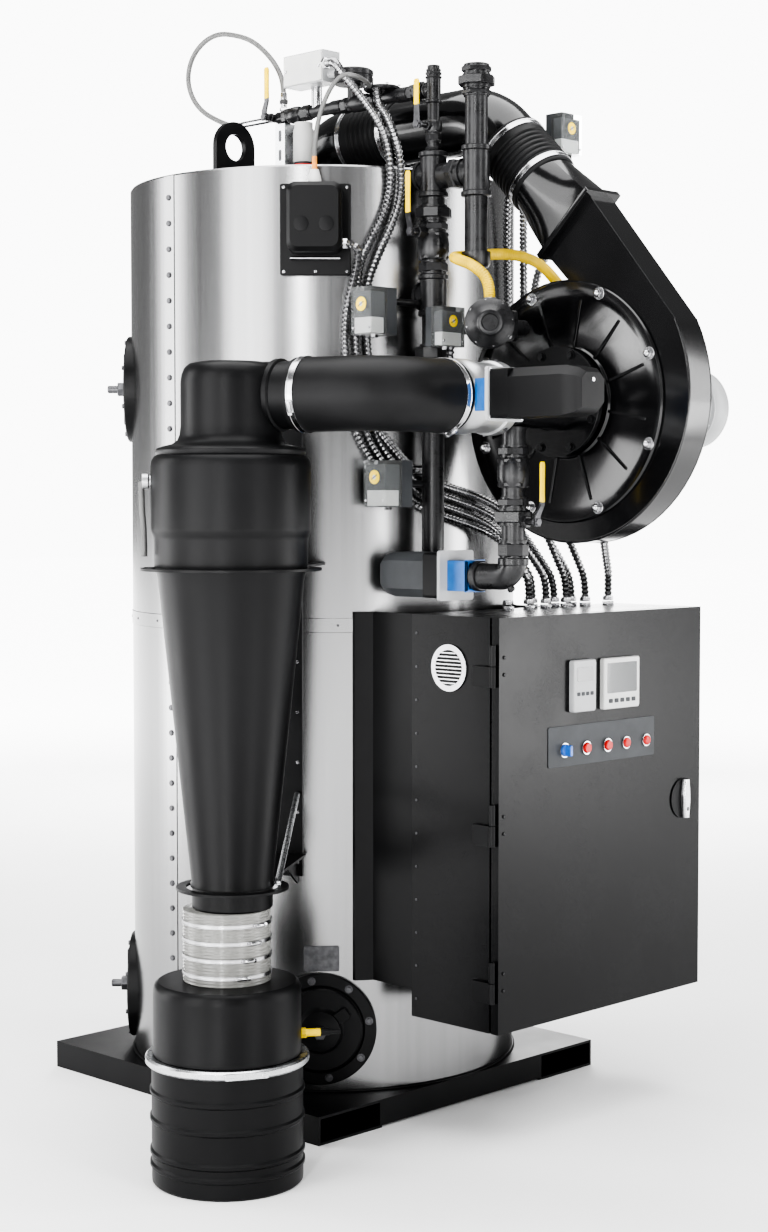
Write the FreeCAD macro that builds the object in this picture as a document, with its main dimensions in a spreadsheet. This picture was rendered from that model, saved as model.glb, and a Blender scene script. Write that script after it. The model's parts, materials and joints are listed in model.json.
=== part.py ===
"""Vertical steam boiler on a forklift skid, with its blower, gas train, air cyclone and cabinet.

Frame: millimetres, +Z up, origin on the floor under the shell's axis, -Y towards the cabinet door.
"""
import FreeCAD, Part
import math
import os
import Sketcher

Vector = FreeCAD.Vector
doc = FreeCAD.newDocument("Boiler")
sheet = doc.addObject("Spreadsheet::Sheet", "Sizes")

X = (1, 0, 0)
Y = (0, 1, 0)
Z = (0, 0, 1)
MINUS_X = (-1, 0, 0)
MINUS_Y = (0, -1, 0)
MINUS_Z = (0, 0, -1)

# ---------------------------------------------------------------- driving dimensions, in mm

DRIVING = {
    # skid
    "skid_side": 914.4,
    "skid_height": 62,
    "skid_plate": 6,
    "fork_tube_width": 191,
    "fork_tube_wall": 6,
    "skirt_lift": 5,
    # shell
    "shell_radius": 455,
    "shell_height": 2029,
    "belt_height": 1110,
    "lug_width": 115,
    "lug_height": 134,
    "lug_thickness": 13,
    "lug_bore": 30,
    "lug_reach": 281,
    # covers on the shell
    "handhole_radius": 125,
    "handhole_low": 204,
    "handhole_drop": 460,
    "cleanout_radius": 124,
    "cover_stand_off": 8,
    "probe_plate_width": 153,
    "probe_plate_height": 197,
    "probe_box_width": 118,
    "probe_box_height": 147,
    "probe_box_depth": 75,
    "probe_drop": 141,
    # cyclone and drum, with their distances from the shell and their drops below the air intake
    "cyclone_reach": 414.8,
    "cyclone_radius": 159,
    "cyclone_cone_end": 81,
    "cyclone_cone_height": 686,
    "cyclone_barrel_height": 220,
    "cyclone_rim_drop": 115,
    "cyclone_rim_height": 18,
    "cyclone_cap_radius": 99,
    "cyclone_cap_height": 153,
    "cyclone_port_drop": 55,
    "bracket_thickness": 5,
    "lower_bracket_rise": 38,
    "backing_width": 104,
    "drum_reach": 417,
    "drum_radius": 152.5,
    "drum_height": 240,
    "drum_ring_height": 20,
    "collar_height": 146,
    "drop_hose_radius": 90,
    # air intake and blower
    "intake_reach": 327,
    "intake_drop": 630,
    "hose_radius": 73.5,
    "hose_wall": 8,
    "hose_end_x": -411,
    "valve_radius": 75.5,
    "valve_end_x": -254,
    "neck_radius": 62,
    "flange_radius": 116,
    "flange_x": -75,
    "actuator_side": 99,
    "scroll_width": 78,
    "scroll_start": 257,
    "scroll_growth": 0.22,
    "scroll_mouth": 163,
    "mouth_drop": 255,
    "blower_plate": 8,
    "motor_radius": 89,
    "motor_length": 395,
    "duct_radius": 72.5,
    "duct_rise": 112,
    "burner_bend": 100,
    "outlet_bend": 160,
    "transition_length": 130,
    "coupling_length": 140,
    "duct_coupling_length": 160,
    "burner_neck_reach": 110,
    # gas train
    "train_x": -150,
    "riser_reach": 44,
    "riser_rise": 25,
    "stack_spacing": 124,
    "stack_drop": 235,
    "branch_drop": 29,
    "pipe_radius": 24.15,
    "small_pipe_radius": 13.4,
    "top_line_rise": 159,
    "gas_inlet_x": -210,
    "gas_elbow_drop": 365,
    # cabinet
    "cabinet_left": -233,
    "cabinet_width": 701,
    "cabinet_base": 251,
    "cabinet_height": 872.5,
    "cabinet_depth": 224,
    "cabinet_reach": 60,
    "cabinet_wall": 3,
    "door_gap": 5,
    "door_depth": 20,
    "hinge_radius": 7,
    "hinge_gap": 2,
    "hinge_length": 88,
    "button_radius": 11,
    "button_stroke": 5,
    "pin_clearance": 0.4,
    # flexible lines
    "conduit_radius": 10,
    "gland_radius": 14,
    "gland_height": 22,
    "loop_radius": 6,
    "impulse_radius": 11,
}


class Size:
    """A length that carries both its number and the expression that gives it."""

    def __init__(self, value, text):
        self.value = float(value)
        self.text = text

    def __add__(self, other):
        other = as_size(other)
        return Size(self.value + other.value, "(%s + %s)" % (self.text, other.text))

    def __radd__(self, other):
        return as_size(other) + self

    def __sub__(self, other):
        other = as_size(other)
        return Size(self.value - other.value, "(%s - %s)" % (self.text, other.text))

    def __rsub__(self, other):
        return as_size(other) - self

    def __mul__(self, other):
        other = as_size(other)
        return Size(self.value * other.value, "(%s * %s)" % (self.text, other.text))

    def __rmul__(self, other):
        return as_size(other) * self

    def __truediv__(self, other):
        other = as_size(other)
        return Size(self.value / other.value, "(%s / %s)" % (self.text, other.text))

    def __neg__(self):
        return Size(-self.value, "(0 - %s)" % self.text)


def as_size(number):
    """A plain number as a constant Size."""
    if isinstance(number, Size):
        return number
    return Size(number, "(%.4f)" % number)


def fill_sheet():
    """Write the driving dimensions to the sheet and return them as Sizes by name."""
    sizes = {}
    for row, (name, value) in enumerate(DRIVING.items(), start=1):
        sheet.set("A%d" % row, name)
        sheet.set("B%d" % row, str(value))
        sheet.setAlias("B%d" % row, name)
    doc.recompute()
    for name in DRIVING:
        sizes[name] = Size(sheet.get(name), "Sizes." + name)
    return sizes


d = fill_sheet()

# ---------------------------------------------------------------- where the main pieces stand

d["crown"] = d["skid_height"] + d["shell_height"]
d["probe_level"] = d["crown"] - d["probe_drop"]
d["handhole_high"] = d["crown"] - d["handhole_drop"]
d["duct_level"] = d["crown"] + d["duct_rise"]
d["intake_level"] = d["duct_level"] - d["intake_drop"]
d["intake_y"] = -(d["shell_radius"] + d["intake_reach"])
d["cyclone_rim"] = d["intake_level"] - d["cyclone_rim_drop"]
d["cyclone_shoulder"] = d["cyclone_rim"] - d["cyclone_barrel_height"]
d["cyclone_bottom"] = d["cyclone_shoulder"] - d["cyclone_cone_height"]
d["riser_y"] = -(d["shell_radius"] + d["riser_reach"])
d["side_stack_y"] = d["riser_y"] - d["stack_spacing"]
d["top_line_level"] = d["crown"] + d["top_line_rise"]
d["branch_level"] = d["crown"] - d["branch_drop"]
d["gas_elbow_level"] = d["intake_level"] - d["gas_elbow_drop"]
d["cabinet_front"] = -(d["shell_radius"] + d["cabinet_reach"] + d["cabinet_depth"])
d["cabinet_top"] = d["cabinet_base"] + d["cabinet_height"]


# ---------------------------------------------------------------- how shapes are made

def place(item, at, axis=Z, turn=0):
    """Put an object's own Z along an axis, turned about it, with its origin bound to at."""
    spin = FreeCAD.Rotation(Vector(*Z), turn)
    aim = FreeCAD.Rotation(Vector(*Z), Vector(*axis))
    at = [as_size(part) for part in at]
    item.Placement = FreeCAD.Placement(Vector(*[part.value for part in at]), aim.multiply(spin))
    for letter, part in zip("xyz", at):
        item.setExpression(".Placement.Base." + letter, part.text)
    return item


def bind(item, **sizes):
    """Bind an object's properties to expressions."""
    for name, size in sizes.items():
        item.setExpression(name, as_size(size).text)
    return item


def box(low, size, turn=0):
    """A block from its low corner."""
    item = doc.addObject("Part::Box", "Block")
    bind(item, Length=size[0], Width=size[1], Height=size[2])
    return place(item, low, Z, turn)


def rod(radius, length, at, axis=Z):
    """A cylinder that starts at a point and runs along an axis."""
    item = doc.addObject("Part::Cylinder", "Rod")
    bind(item, Radius=radius, Height=length)
    return place(item, at, axis)


def fuse(*items):
    """Join objects into one solid."""
    item = doc.addObject("Part::MultiFuse", "Fuse")
    item.Shapes = list(items)
    item.Refine = False
    return item


def cut(base, *tools):
    """Take objects away from a base."""
    item = doc.addObject("Part::Cut", "Cut")
    item.Base = base
    item.Tool = tools[0] if len(tools) == 1 else fuse(*tools)
    return item


def common(first, second):
    """What two objects share."""
    item = doc.addObject("Part::Common", "Common")
    item.Base = first
    item.Tool = second
    return item


def group(*items):
    """Like pieces that do not touch, kept as one sub-part."""
    item = doc.addObject("Part::Compound", "Group")
    item.Links = list(items)
    return item


def ring(outer, inner, length, at, axis=Z):
    """A plain ring or sleeve."""
    return cut(rod(outer, length, at, axis), rod(inner, length, at, axis))


def origin_plane(body, role):
    """One of a body's own origin planes."""
    return next(feature for feature in body.Origin.OriginFeatures if feature.Role == role)


def outline_sketch(body, role, points):
    """A closed sketch of straight lines whose corners are bound to (across, up) pairs."""
    sketch = body.newObject("Sketcher::SketchObject", "Outline")
    sketch.AttachmentSupport = [(origin_plane(body, role), "")]
    sketch.MapMode = "FlatFace"
    corners = [(as_size(across), as_size(up)) for across, up in points]
    spots = [Vector(across.value, up.value, 0) for across, up in corners]
    count = len(corners)
    sketcher_lines = [Part.LineSegment(spots[n], spots[(n + 1) % count]) for n in range(count)]
    sketch.addGeometry(sketcher_lines, False)
    for n in range(count):
        sketch.addConstraint(Sketcher.Constraint("Coincident", n, 2, (n + 1) % count, 1))
    for n, (across, up) in enumerate(corners):
        for kind, size, line in (("DistanceX", across, -2), ("DistanceY", up, -1)):
            if abs(size.value) < 1e-9:
                sketch.addConstraint(Sketcher.Constraint("PointOnObject", n, 1, line))
                continue
            number = sketch.addConstraint(Sketcher.Constraint(kind, -1, 1, n, 1, size.value))
            sketch.setExpression("Constraints[%d]" % number, size.text)
    return sketch


def turned(profile, at, axis=Z):
    """A turned body: a closed (radius, height) profile revolved about its own Z."""
    body = doc.addObject("PartDesign::Body", "Turned")
    sketch = outline_sketch(body, "XZ_Plane", profile)
    feature = body.newObject("PartDesign::Revolution", "Revolution")
    feature.Profile = sketch
    feature.ReferenceAxis = (sketch, ["V_Axis"])
    feature.Angle = 360
    body.Tip = feature
    return place(body, at, axis)


def padded(outline, thickness, at, axis=Z, turn=0):
    """A flat plate: a closed outline padded along its own Z."""
    body = doc.addObject("PartDesign::Body", "Plate")
    sketch = outline_sketch(body, "XY_Plane", outline)
    feature = body.newObject("PartDesign::Pad", "Pad")
    feature.Profile = sketch
    feature.setExpression("Length", as_size(thickness).text)
    body.Tip = feature
    return place(body, at, axis, turn)


def stepped(steps):
    """The profile of a solid shaft made of (length, radius) steps."""
    profile = [(0, 0)]
    height = as_size(0)
    last = None
    for length, radius in steps:
        if last is not None and abs(as_size(radius).value - as_size(last).value) < 1e-6:
            profile.pop()
        else:
            profile.append((radius, height))
        height = height + length
        profile.append((radius, height))
        last = radius
    profile.append((0, height))
    return profile


def rectangle(width, height):
    """A rectangle about its own centre."""
    across = as_size(width) / 2
    up = as_size(height) / 2
    return [(-across, -up), (across, -up), (across, up), (-across, up)]


def fixed_shape(shape):
    """A feature for a shape made with Part's own functions from the sheet's values."""
    item = doc.addObject("Part::Feature", "Shape")
    item.Shape = shape
    return item


def rounded_path(points, bend=None):
    """Straight runs joined by tangent arcs. Gives the wire, its length and the arcs' radii."""
    spots = [Vector(*point) for point in points]
    edges = []
    radii = []
    start = spots[0]
    for n in range(1, len(spots) - 1):
        before = spots[n] - spots[n - 1]
        after = spots[n + 1] - spots[n]
        half_turn = before.getAngle(after) / 2
        shorter = min(before.Length, after.Length)
        radius = bend if bend else 0.45 * shorter / math.tan(half_turn)
        reach = radius * math.tan(half_turn)
        radii.append(radius)
        before.normalize()
        after.normalize()
        enter = spots[n] - before * reach
        leave = spots[n] + after * reach
        inward = (after - before).normalize()
        middle = spots[n] + inward * (radius / math.cos(half_turn) - radius)
        if (enter - start).Length > 1e-6:
            edges.append(Part.LineSegment(start, enter).toShape())
        edges.append(Part.Arc(enter, middle, leave).toShape())
        start = leave
    edges.append(Part.LineSegment(start, spots[-1]).toShape())
    wire = Part.Wire(edges)
    return wire, wire.Length, radii


def swept(points, radius, bend=None, inner=None, name=""):
    """A tube or solid bar along a rounded path."""
    wire, length, radii = rounded_path(points, bend)
    start = Vector(*points[0])
    heading = Vector(*points[1]) - start
    shapes = []
    for size in (radius, inner):
        if size:
            section = Part.Wire(Part.Circle(start, heading, size).toShape())
            shapes.append(wire.makePipeShell([section], True, False))
    solid = shapes[0] if len(shapes) == 1 else shapes[0].cut(shapes[1])
    area = math.pi * (radius ** 2 - (inner or 0) ** 2)
    if abs(solid.Volume / (area * length) - 1) > 0.02:
        raise ValueError("tube %s has the wrong volume" % name)
    print("%-18s length %7.1f mm, bends %s" % (name, length, [round(one, 1) for one in radii]))
    return solid


def radial(angle, reach, level):
    """A point at a distance from the shell's axis, with the angle in degrees."""
    reach = as_size(reach)
    return (reach * math.cos(math.radians(angle)), reach * math.sin(math.radians(angle)), level)


def outward(angle):
    """The direction away from the shell's axis."""
    return (math.cos(math.radians(angle)), math.sin(math.radians(angle)), 0)


def radial_bar(angle, start, span, width, thickness, level):
    """A flat bar that runs straight out from the shell's axis."""
    half = as_size(width) / 2
    across = (math.sin(math.radians(angle)), -math.cos(math.radians(angle)))
    foot = radial(angle, start, level)
    corner = (foot[0] + half * across[0], foot[1] + half * across[1], level)
    return box(corner, (span, width, thickness), angle)


def shell_core():
    """The shell's full cylinder, used to trim what seats on it."""
    return rod(d["shell_radius"], d["shell_height"] + d["skid_height"], (0, 0, 0))


# ---------------------------------------------------------------- the sub-parts

parts = {}


def sub_part(label, item):
    """Name a finished sub-part."""
    item.Label = label
    parts[label] = item


def make_skid():
    """A plate on two fork tubes, with skirts between them."""
    side = d["skid_side"]
    half = side / 2
    inside = d["skid_height"] - d["skid_plate"]
    wall = d["fork_tube_wall"]
    width = d["fork_tube_width"]
    sub_part("skid_plate", box((-half, -half, inside), (side, side, d["skid_plate"])))
    for name, low in (("fork_tube_left", -half), ("fork_tube_right", half - width)):
        tube = box((low, -half, 0), (width, side, inside))
        pocket = box((low + wall, -half, wall), (width - wall * 2, side, inside))
        sub_part(name, cut(tube, pocket))
    skirt_size = (side - width * 2, wall, inside - d["skirt_lift"])
    front = box((width - half, -half, d["skirt_lift"]), skirt_size)
    back = box((width - half, half - wall, d["skirt_lift"]), skirt_size)
    sub_part("skid_skirts", group(front, back))


def make_shell():
    """The jacket in two courses, the upper one with the flat top, and two lifting lugs."""
    base = d["skid_height"]
    top = d["crown"]
    radius = d["shell_radius"]
    sub_part("lower_jacket", rod(radius, d["belt_height"] - base, (0, 0, base)))
    sub_part("upper_jacket", rod(radius, top - d["belt_height"], (0, 0, d["belt_height"])))
    lugs = []
    for side in (-1, 1):
        centre = side * d["lug_reach"]
        straight = d["lug_height"] - d["lug_width"] / 2
        back = d["lug_thickness"] / 2
        plate = box((centre - d["lug_width"] / 2, -back, top), (d["lug_width"], d["lug_thickness"], straight))
        crown = rod(d["lug_width"] / 2, d["lug_thickness"], (centre, back, top + straight), MINUS_Y)
        eye = rod(d["lug_bore"], d["lug_thickness"], (centre, back, top + straight), MINUS_Y)
        lugs.append(cut(fuse(plate, crown), eye))
    sub_part("lifting_lugs", group(*lugs))


def seated_cover(angle, level, radius, steps):
    """A round cover on the shell, with a stepped centre that stands out of it."""
    root = d["shell_radius"] - 30
    shaft = [(d["cover_stand_off"] + 30, radius)] + steps
    return cut(turned(stepped(shaft), radial(angle, root, level), outward(angle)), shell_core())


HANDHOLE_BEARING = 135
CLEANOUT_BEARING = -135
PROBE_BEARING = -136
PROBE_BOX_RISE = 20


def make_shell_covers():
    """Two hand-hole covers on the left, the round cleanout in front, and the probe box."""
    stud = [(10, 42), (4, 26), (18, 17), (22, 9)]
    low = seated_cover(HANDHOLE_BEARING, d["handhole_low"], d["handhole_radius"], stud)
    high = seated_cover(HANDHOLE_BEARING, d["handhole_high"], d["handhole_radius"], stud)
    sub_part("handhole_covers", group(low, high))
    hub = [(8, 92), (14, 44), (22, 18)]
    sub_part("cleanout_cover", seated_cover(CLEANOUT_BEARING, d["handhole_low"], d["cleanout_radius"], hub))
    angle = PROBE_BEARING
    plate_width = d["probe_plate_width"]
    plate_height = d["probe_plate_height"]
    corner = d["shell_radius"] - 10
    thickness = d["cover_stand_off"] + 10
    outline = rectangle(plate_width, plate_height)
    upright = angle + 90
    plate = padded(outline, thickness, radial(angle, corner, d["probe_level"]), outward(angle), upright)
    width = d["probe_box_width"]
    height = d["probe_box_height"]
    housing_at = radial(angle, corner + thickness, d["probe_level"] + PROBE_BOX_RISE)
    housing = padded(rectangle(width, height), d["probe_box_depth"], housing_at, outward(angle), upright)
    sub_part("probe_box", fuse(cut(plate, shell_core()), housing))


def turned_to(bearing, reach):
    """A point's x and y at a distance from the shell's axis, in a fixed direction."""
    angle = math.radians(bearing)
    return reach * math.cos(angle), reach * math.sin(angle)


CYCLONE_BEARING = -146.11
DRUM_BEARING = -146.84
d["cyclone_x"], d["cyclone_y"] = turned_to(CYCLONE_BEARING, d["shell_radius"] + d["cyclone_reach"])
d["drum_x"], d["drum_y"] = turned_to(DRUM_BEARING, d["shell_radius"] + d["drum_reach"])

# the cyclone's neck: its foot from the cyclone's axis, its heading and its length; the air hose starts at its end
NECK_FOOT = (33, -3)
NECK_HEADING = Vector(0.3113, -0.9503, 0).normalize()
NECK_LENGTH = 126
HOSE_BEND = 250


def neck_foot():
    """Where the cyclone's neck starts."""
    return Vector(d["cyclone_x"].value + NECK_FOOT[0], d["cyclone_y"].value + NECK_FOOT[1], d["intake_level"].value)


def hose_route():
    """The air hose leaves the neck, turns in line with the air valve and ends in it."""
    start = neck_foot() + NECK_HEADING * NECK_LENGTH
    lead = (d["intake_y"].value - start.y) / NECK_HEADING.y
    corner = start + NECK_HEADING * lead
    return [start, corner, Vector(d["hose_end_x"].value, corner.y, corner.z)]


def make_cyclone():
    """The moulded cyclone in two pieces, barrel with cone and cap with neck, and its side port."""
    x = d["cyclone_x"]
    y = d["cyclone_y"]
    low = d["cyclone_bottom"]
    radius = d["cyclone_radius"]
    shoulder = d["cyclone_shoulder"] - low
    top = d["cyclone_rim"] - low
    body = [(0, 0), (d["cyclone_cone_end"], 0), (radius - 5, shoulder), (radius, shoulder + 60),
            (radius, top), (0, top)]
    barrel = turned(body, (x, y, low))
    lip = radius - 18
    rim = d["cyclone_rim_height"]
    cap = d["cyclone_cap_radius"]
    crown = rim + d["cyclone_cap_height"]
    profile = [(0, 0), (lip, 0), (lip, rim), (cap, rim), (cap, crown - 22), (cap - 22, crown), (0, crown)]
    neck = rod(d["hose_radius"] - d["hose_wall"], NECK_LENGTH, tuple(neck_foot()), tuple(NECK_HEADING))
    sub_part("cyclone_cap", fuse(turned(profile, (x, y, d["cyclone_rim"])), neck))
    port = d["cyclone_rim"] - d["cyclone_port_drop"]
    port_x = x - radius * 0.78
    port_y = y + radius * 0.62
    stub = rod(17, 42, (port_x + 18, port_y - 14, port), (-0.782, 0.623, 0))
    drop = rod(7, 150, (port_x - 10, port_y + 8, port - 150))
    sub_part("cyclone_body", fuse(barrel, stub, drop))


def make_cyclone_brackets():
    """Two ring brackets that carry the cyclone from a backing plate screwed to the shell."""
    x = d["cyclone_x"]
    y = d["cyclone_y"]
    angle = CYCLONE_BEARING
    reach = d["shell_radius"] + d["cyclone_reach"]
    margin = 7
    base = d["cyclone_bottom"] - margin
    height = d["cyclone_rim"] - base + 61
    face = d["shell_radius"] + 10
    plate_at = radial(angle, face - 20, base + height / 2)
    plate = padded(rectangle(d["backing_width"], height), 20, plate_at, outward(angle), angle + 90)
    sub_part("backing_plate", cut(plate, shell_core()))
    thickness = d["bracket_thickness"]
    brackets = []
    levels = ((d["cyclone_shoulder"] - thickness - 6, d["cyclone_radius"] + 1),
              (d["cyclone_bottom"] + d["lower_bracket_rise"], d["cyclone_cone_end"] + 12))
    for level, inner in levels:
        arm = radial_bar(angle, face, reach - face, inner * 1.3, thickness, level)
        disc = rod(inner + 20, thickness, (x, y, level))
        bore = rod(inner, thickness, (x, y, level))
        brackets.append(cut(fuse(disc, arm), bore))
    sub_part("cyclone_brackets", group(*brackets))


DRUM_RIB = 4
COLLAR_SHOULDER = 8
SENSOR_BEARING = -36
SENSOR_RISE = 30


def make_drum():
    """The collection drum: pail, clamp ring, collar lid, level sensor and the hose from the cone."""
    x = d["drum_x"]
    y = d["drum_y"]
    radius = d["drum_radius"]
    height = d["drum_height"]
    ring_height = d["drum_ring_height"]
    rib = radius + DRUM_RIB
    profile = [(0, 0), (radius - 3, 0), (radius, 12), (radius, height * 0.55), (rib, height * 0.57),
               (radius, height * 0.6), (radius, height * 0.78), (rib, height * 0.8), (radius, height * 0.83),
               (radius, height), (0, height)]
    sub_part("drum_body", turned(profile, (x, y, 0)))
    sub_part("drum_ring", rod(radius + 13, ring_height, (x, y, height)))
    collar_base = height + ring_height
    collar_height = d["collar_height"]
    collar = [(0, 0), (radius - 2, 0), (radius - 2, collar_height - COLLAR_SHOULDER),
              (radius - 2 - COLLAR_SHOULDER, collar_height), (0, collar_height)]
    sub_part("drum_collar", turned(collar, (x, y, collar_base)))
    hose_base = collar_base + collar_height
    sub_part("drop_hose", rod(d["drop_hose_radius"], d["cyclone_bottom"] - hose_base, (x, y, hose_base)))
    heading = outward(SENSOR_BEARING)
    sensor_reach = radius - 10
    sensor_at = (x + sensor_reach * heading[0], y + sensor_reach * heading[1], collar_base + SENSOR_RISE)
    sensor = turned(stepped([(38, 11), (34, 8), (30, 5)]), sensor_at, heading)
    sub_part("level_sensor", cut(sensor, rod(radius - 2, collar_height, (x, y, collar_base))))


BAND_WIDTH = 14
BAND_THICKNESS = 3
DROP_BAND_RISES = (14, 48, 82, 116)
ACTUATOR_LENGTH = 222
ACTUATOR_PLATE = 8
ACTUATOR_LIP = 4
YOKE_LENGTH = 44
YOKE_SIZE = (60, 68)


def make_intake():
    """The air hose with its clamps, the air valve with its actuator, and the neck to the blower."""
    level = d["intake_level"]
    y = d["intake_y"]
    route = hose_route()
    sub_part("inlet_hose", fixed_shape(swept(route, d["hose_radius"].value, HOSE_BEND, name="inlet_hose")))
    valve_start = d["hose_end_x"]
    valve = rod(d["valve_radius"], d["valve_end_x"] - valve_start, (valve_start, y, level), X)
    sub_part("air_valve", valve)
    bore = d["hose_radius"] + 1.2
    band = bore + BAND_THICKNESS
    clamps = [ring(band, bore, BAND_WIDTH, (valve_start - BAND_WIDTH - 8, y, level), X)]
    first = route[0] + NECK_HEADING * 9
    clamps.append(ring(band, bore, BAND_WIDTH, tuple(first), tuple(NECK_HEADING)))
    collar_top = d["drum_height"] + d["drum_ring_height"] + d["collar_height"]
    drop_bore = d["drop_hose_radius"]
    for rise in DROP_BAND_RISES:
        clamps.append(ring(drop_bore + 2, drop_bore, 10, (d["drum_x"], d["drum_y"], collar_top + rise)))
    sub_part("hose_clamps", group(*clamps))
    neck_end = d["flange_x"]
    neck = rod(d["neck_radius"], neck_end - d["valve_end_x"], (d["valve_end_x"], y, level), X)
    plate_face = -(d["scroll_width"] / 2) - d["blower_plate"]
    flange = rod(d["flange_radius"], plate_face - neck_end, (neck_end, y, level), X)
    sub_part("intake_neck", fuse(neck, flange))
    make_actuators(level, y)


def make_actuators(level, y):
    """The two damper actuators, each on a yoke: one on the air valve and one behind the gas elbow."""
    side = d["actuator_side"]
    lip = ACTUATOR_LIP
    yoke_width, yoke_height = YOKE_SIZE
    shaft_x = d["hose_end_x"] + 30
    yoke_start = y - d["valve_radius"] - YOKE_LENGTH
    yoke = box((shaft_x - yoke_width / 2, yoke_start, level - yoke_height / 2), (yoke_width, 56, yoke_height))
    clear = rod(d["valve_radius"], 200, (d["hose_end_x"] - 20, y, level), X)
    plate_start = yoke_start - ACTUATOR_PLATE
    body = box((shaft_x - side / 2, plate_start - ACTUATOR_LENGTH, level - side / 2), (side, ACTUATOR_LENGTH, side))
    plate_size = (side + lip * 2, ACTUATOR_PLATE, side + lip * 2)
    plate = box((shaft_x - side / 2 - lip, plate_start, level - side / 2 - lip), plate_size)
    gas_level = d["gas_elbow_level"]
    gas_x = d["gas_inlet_x"]
    gas_yoke_start = y + ELBOW_REACH
    gas_yoke_size = (yoke_width, YOKE_LENGTH + 10, yoke_height)
    gas_yoke = box((gas_x - yoke_width / 2, gas_yoke_start, gas_level - yoke_height / 2), gas_yoke_size)
    sub_part("actuator_brackets", group(cut(yoke, clear), gas_yoke))
    sub_part("air_actuator", fuse(body, plate))
    gas_plate_start = gas_yoke_start + YOKE_LENGTH + 10
    gas_plate = box((gas_x - side / 2 - lip, gas_plate_start, gas_level - side / 2 - lip), plate_size)
    gas_body = box((gas_x - side / 2, gas_plate_start + ACTUATOR_PLATE, gas_level - side / 2), (74, 186, side))
    sub_part("gas_actuator", fuse(gas_body, gas_plate))


def scroll_outline():
    """The scroll seen along its axis: a growing spiral, closed by a straight mouth at 45 degrees."""
    start = d["scroll_start"].value
    growth = d["scroll_growth"].value
    stations = [math.radians(90 - sweep) for sweep in range(0, 316, 15)]
    radii = [start + growth * sweep for sweep in range(0, 316, 15)]
    spiral = [Vector(0, reach * math.cos(angle), reach * math.sin(angle)) for angle, reach in zip(stations, radii)]
    edges = []
    for n in range(0, len(spiral) - 2, 2):
        edges.append(Part.Arc(spiral[n], spiral[n + 1], spiral[n + 2]).toShape())
    last = spiral[2 * ((len(spiral) - 1) // 2)]
    middle = mouth_centre()
    half = d["scroll_mouth"].value / 2 * math.sqrt(0.5)
    outer = Vector(0, middle[0] - half, middle[1] + half)
    inner = Vector(0, middle[0] + half, middle[1] - half)
    edges.append(Part.LineSegment(last, outer).toShape())
    edges.append(Part.LineSegment(outer, inner).toShape())
    edges.append(Part.LineSegment(inner, spiral[0]).toShape())
    return Part.Wire(edges)


def mouth_centre():
    """The mouth's centre from the blower's axis, along Y and Z."""
    return (3, d["intake_drop"].value - d["mouth_drop"].value)


def make_blower():
    """Scroll, bolted inlet plate and motor, and the mouth's transition up to the duct."""
    y = d["intake_y"]
    level = d["intake_level"]
    width = d["scroll_width"]
    face = Part.Face(scroll_outline())
    housing = fixed_shape(face.extrude(Vector(width.value, 0, 0)))
    sub_part("blower_housing", place(housing, (-(width / 2), y, level)))
    plate_radius = d["scroll_start"] - 1
    sub_part("blower_plate", rod(plate_radius, d["blower_plate"], (-(width / 2) - d["blower_plate"], y, level), X))
    motor_radius = d["motor_radius"]
    motor = turned(stepped([(14, motor_radius + 28), (d["motor_length"] - 60, motor_radius), (46, motor_radius - 2)]),
                   (width / 2, y, level), X)
    terminals = box((width / 2 + TERMINALS_X, y + motor_radius - 6, level - 33), TERMINALS_SIZE)
    sub_part("blower_motor", fuse(motor, terminals))
    heading = Vector(0, math.sqrt(0.5), math.sqrt(0.5))
    middle = mouth_centre()
    start = Vector(0, y.value + middle[0], level.value + middle[1])
    radius = d["duct_radius"].value
    half_width = width.value / 2
    half_mouth = d["scroll_mouth"].value / 2
    across = Vector(0, -math.sqrt(0.5), math.sqrt(0.5))
    corners = []
    for side, edge in ((-1, -1), (1, -1), (1, 1), (-1, 1)):
        corners.append(start + Vector(side * half_width, 0, 0) + across * (edge * half_mouth))
    mouth = Part.makePolygon(corners + [corners[0]])
    end = start + heading * d["transition_length"].value
    round_end = Part.Wire(Part.Circle(end, heading, radius).toShape())
    sub_part("blower_outlet", fixed_shape(Part.makeLoft([mouth, round_end], True)))
    sub_part("outlet_coupling", rod(d["duct_radius"] + 5, d["coupling_length"], tuple(end), tuple(heading)))
    make_duct(end + heading * d["coupling_length"].value, heading, radius)


TERMINALS_X = 141
TERMINALS_SIZE = (80, 44, 66)


def make_duct(start, heading, radius):
    """The duct from the blower over the top, its coupling, and the elbow down into the shell."""
    level = d["duct_level"].value
    corner = start + heading * ((level - start.z) / heading.z)
    neck_reach = d["burner_neck_reach"].value
    end_y = -neck_reach - d["duct_coupling_length"].value
    duct = [start, corner, Vector(0, end_y, level)]
    reach = min((corner - start).Length, end_y - corner.y) * 0.98
    bend = min(d["outlet_bend"].value, reach / math.tan(math.radians(22.5)))
    sub_part("air_duct", fixed_shape(swept(duct, radius, bend, name="air_duct")))
    sub_part("duct_coupling", rod(d["duct_radius"] + 5, d["duct_coupling_length"], (0, end_y, level), Y))
    neck = [(0, -neck_reach, level), (0, 0, level), (0, 0, d["crown"].value)]
    sub_part("burner_neck", fixed_shape(swept(neck, radius, d["burner_bend"].value, name="burner_neck")))


# fittings of the gas train, as shares of their pipe's radius
FITTING = {"pipe": 1.0, "cap": 1.28, "tee": 1.18, "rim": 1.34, "union": 1.66, "hex": 1.3, "valve": 1.42, "reducer": 1.2}

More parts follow.
